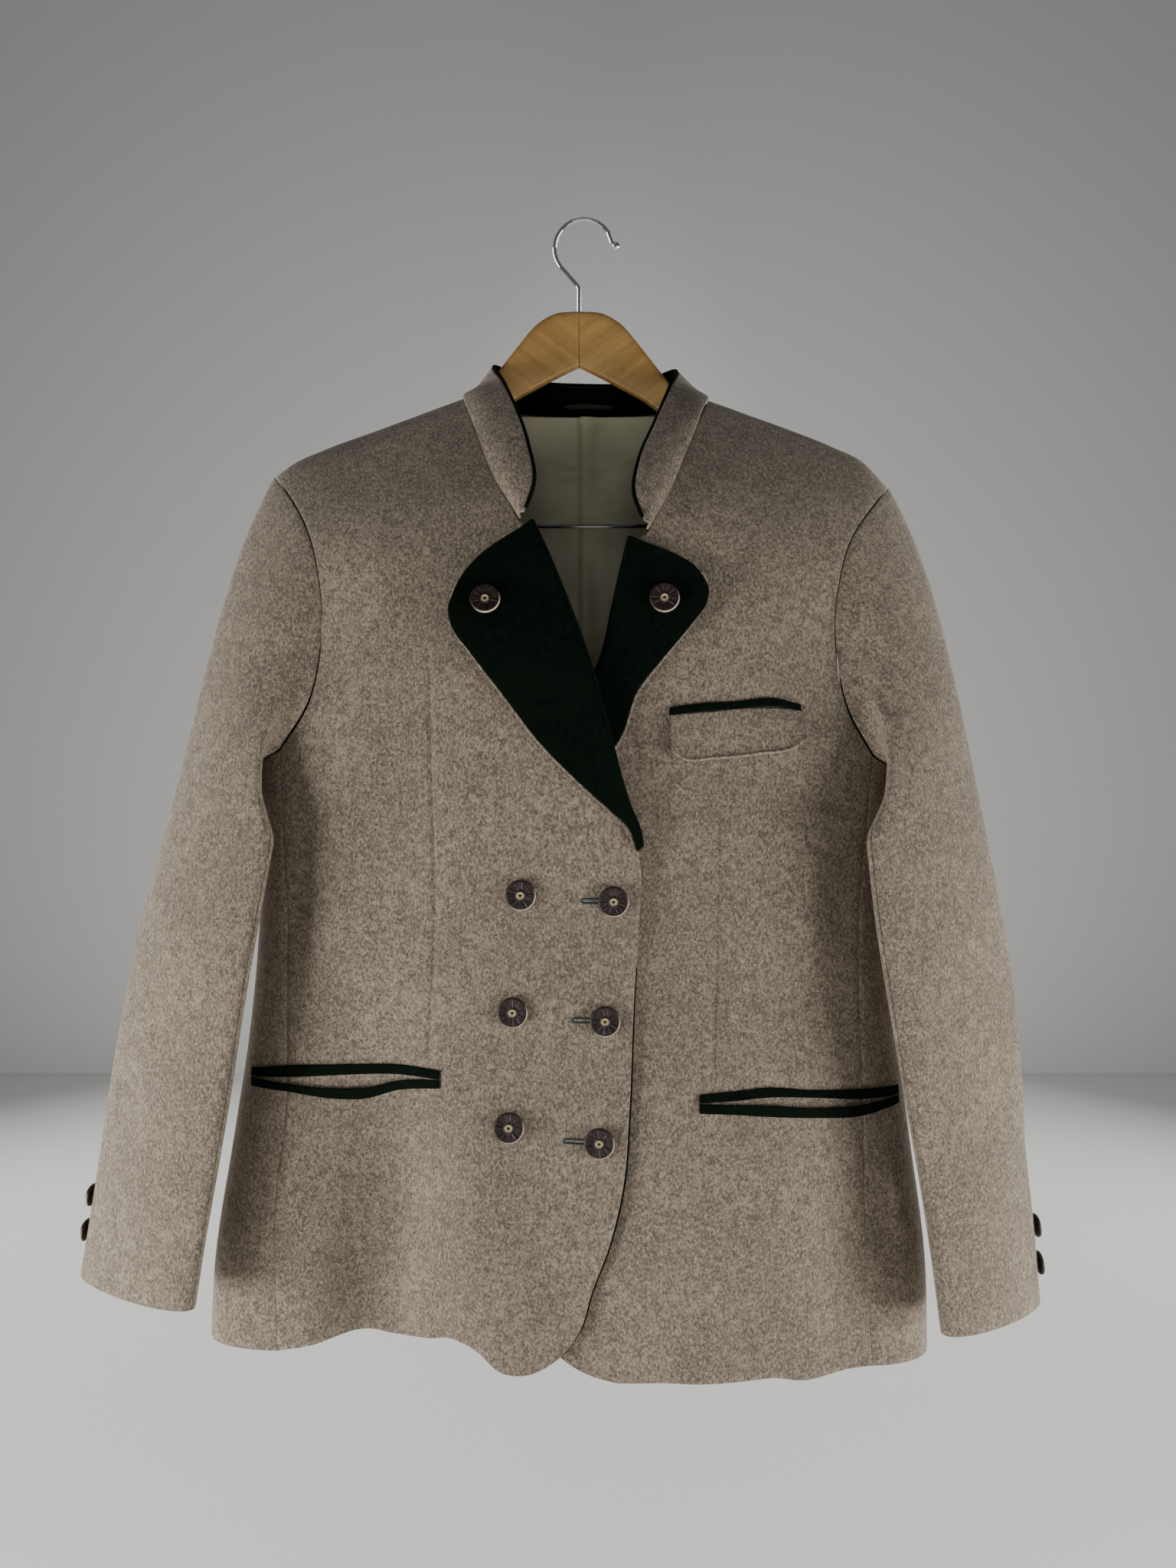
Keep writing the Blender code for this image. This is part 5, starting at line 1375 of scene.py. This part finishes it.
def loop_finish():
    """A dark woven tape with fine ribs across it."""
    finish = Finish("loop_weave", Roughness=0.7, Sheen_Weight=0.2)
    u, v, _ = finish.parts(finish.cut)
    rib = u.maths("SINE", u * (2 * math.pi / RIB_PITCH))
    strand = v.maths("SINE", v * (2 * math.pi / STRAND_PITCH))
    weave = rib * strand * 0.5 + 0.5
    finish.set(Base_Color=finish.mix(weave, (0.004, 0.010, 0.005), (0.030, 0.048, 0.026)))
    finish.bump(weave, 0.5, 0.0004)
    return finish.material


def beech_finish(name, lean, shift):
    """Lacquered beech: long grain along the arm with short dark pores."""
    finish = Finish(name, Coat_Weight=0.30, Coat_Roughness=0.22, Specular_IOR_Level=0.45)
    turned = {"Location": (shift, 0, shift), "Rotation": (0, lean, 0)}
    along = finish.node("ShaderNodeMapping", Vector=finish.place, **turned)
    grain = finish.fibres((9, 60, 150), 5.0, where=along, Distortion=0.6)
    bands = finish.fibres((3, 30, 40), 2.0, where=along, Distortion=1.2)
    pores = finish.fibres((160, 900, 1500), 1.0, where=along)
    base = finish.mix(grain.over(0.35, 0.65), (0.430, 0.255, 0.078), (0.325, 0.182, 0.050))
    base = finish.mix(bands.over(0.45, 0.70) * 0.5, base, (0.260, 0.138, 0.036))
    base = finish.mix(pores.over(0.62, 0.70) * 0.5, base, (0.170, 0.085, 0.024))
    finish.set(Base_Color=base, Roughness=0.30 + 0.14 * grain)
    finish.bump(grain * 0.5 + pores * 0.5, 0.12, 0.0004)
    return finish.material


def chrome_finish(name, tone):
    """Polished plating with faint rubbed marks."""
    finish = Finish(name, Metallic=1.0, Specular_IOR_Level=0.5)
    marks = finish.fibres((140, 140, 900), 3.0)
    tint = finish.mix(marks.over(0.4, 0.7), (tone,) * 3, (1.2 * tone,) * 3)
    finish.set(Base_Color=tint, Roughness=0.10 + 0.14 * marks)
    return finish.material


def hard_pieces():
    """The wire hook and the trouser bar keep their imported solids' shape, in better materials."""
    for node, finish in (("hanger_hook", "chrome"), ("trouser_bar", "dull_chrome")):
        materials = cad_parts[node].data.materials
        materials.clear()
        materials.append(FINISHES[finish])


def rounded(wave):
    return np.sign(wave) * abs(wave) ** ARM_CORNER


def arm_rings(sign, reach):
    """Rounded sections across a hanger arm, at these distances from the middle joint."""
    high, low, deep = spline(HANGER_ARM)(reach).T[..., None]
    turn = np.linspace(0, 2 * math.pi, ARM_SIDES, endpoint=False)
    x = HANGER_JOINT + sign * (reach + SEAM_GAP / 2)
    y = deep + rounded(np.cos(turn)) * ARM_THICK / 2
    z = (high + low) / 2 + (high - low) / 2 * rounded(np.sin(turn))
    return np.stack([np.broadcast_to(x[:, None], y.shape), y, z], -1)


def hanger():
    """The two wooden arms, and the glue that fills the gap where they meet."""
    reach = HANGER_ARM[-1][0] * np.linspace(0, 1, ARM_ROWS)
    for side, sign in SIGN.items():
        arm = ring_solid("wooden_arm_" + side, arm_rings(sign, reach))
        show(arm, "beech_" + side, ["hanger_arm_" + side])
    end = arm_rings(1, np.zeros(1))[0]
    end = end.mean(0) + (end - end.mean(0)) * GLUE_SHARE
    glue = np.stack([end, end])
    glue[:, :, 0] = HANGER_JOINT + np.array([[-1], [1]]) * GLUE_HALF
    show(ring_solid("hanger_glue_line", glue), "glue")


def room():
    """A pale wall far behind the coat, a pale floor, a camera and soft lights from both sides."""
    pale = Finish("pale_room", Base_Color=(0.80, 0.79, 0.77, 1.0), Roughness=0.9).material
    half, top = ROOM_HALF, ROOM_TOP
    left, right = (-half, WALL_Y, FLOOR_Z), (half, WALL_Y, FLOOR_Z)
    wall = (left, right, (half, WALL_Y, top), (-half, WALL_Y, top))
    floor = ((-half, -half, FLOOR_Z), (half, -half, FLOOR_Z), right, left)
    for name, corners in (("wall", wall), ("floor", floor)):
        mesh = bpy.data.meshes.new(name)
        mesh.from_pydata(corners, [], [(0, 1, 2, 3)])
        mesh.materials.append(pale)
        add(name, mesh)
    camera = bpy.data.cameras.new("camera")
    camera.lens = FOCAL_PIXELS / PICTURE_LONG * SENSOR
    camera.sensor_width = SENSOR
    camera.sensor_fit = "AUTO"
    camera.clip_start = 0.02
    bpy.context.scene.camera = add("camera", camera, CAMERA, (math.pi / 2, 0, 0))
    for name, place, size, watts in LIGHTS:
        light = bpy.data.lights.new(name, "AREA")
        light.energy = watts
        light.size = size
        way = np.array(LIT_POINT) - np.array(place)
        tilt = math.atan2(math.hypot(way[0], way[1]), -way[2])
        add(name, light, place, (tilt, 0, math.atan2(way[1], way[0]) - math.pi / 2))
    world = bpy.data.worlds.new("soft")
    world.use_nodes = True
    background = world.node_tree.nodes["Background"].inputs
    background["Color"].default_value = SKY
    background["Strength"].default_value = SKY_STRENGTH
    bpy.context.scene.world = world


FINISHES = {
    "loden": loden_finish(),
    "green_felt": felt_finish(),
    "lining": lining_finish(),
    "horn": horn_finish(),
    "green_thread": thread_finish(),
    "loop_weave": loop_finish(),
    "beech_right": beech_finish("beech_right", -0.62, 0.0),
    "beech_left": beech_finish("beech_left", 0.62, 3.7),
    "glue": Finish("glue", Base_Color=(0.10, 0.055, 0.02, 1.0), Roughness=0.6).material,
    "chrome": chrome_finish("chrome", 0.60),
    "dull_chrome": chrome_finish("dull_chrome", 0.26),
}
room()
body()
sleeves()
lapels()
edge_facing()
collar()
pockets()
back_lining()
buttons()
buttonholes()
hard_pieces()
hanger()
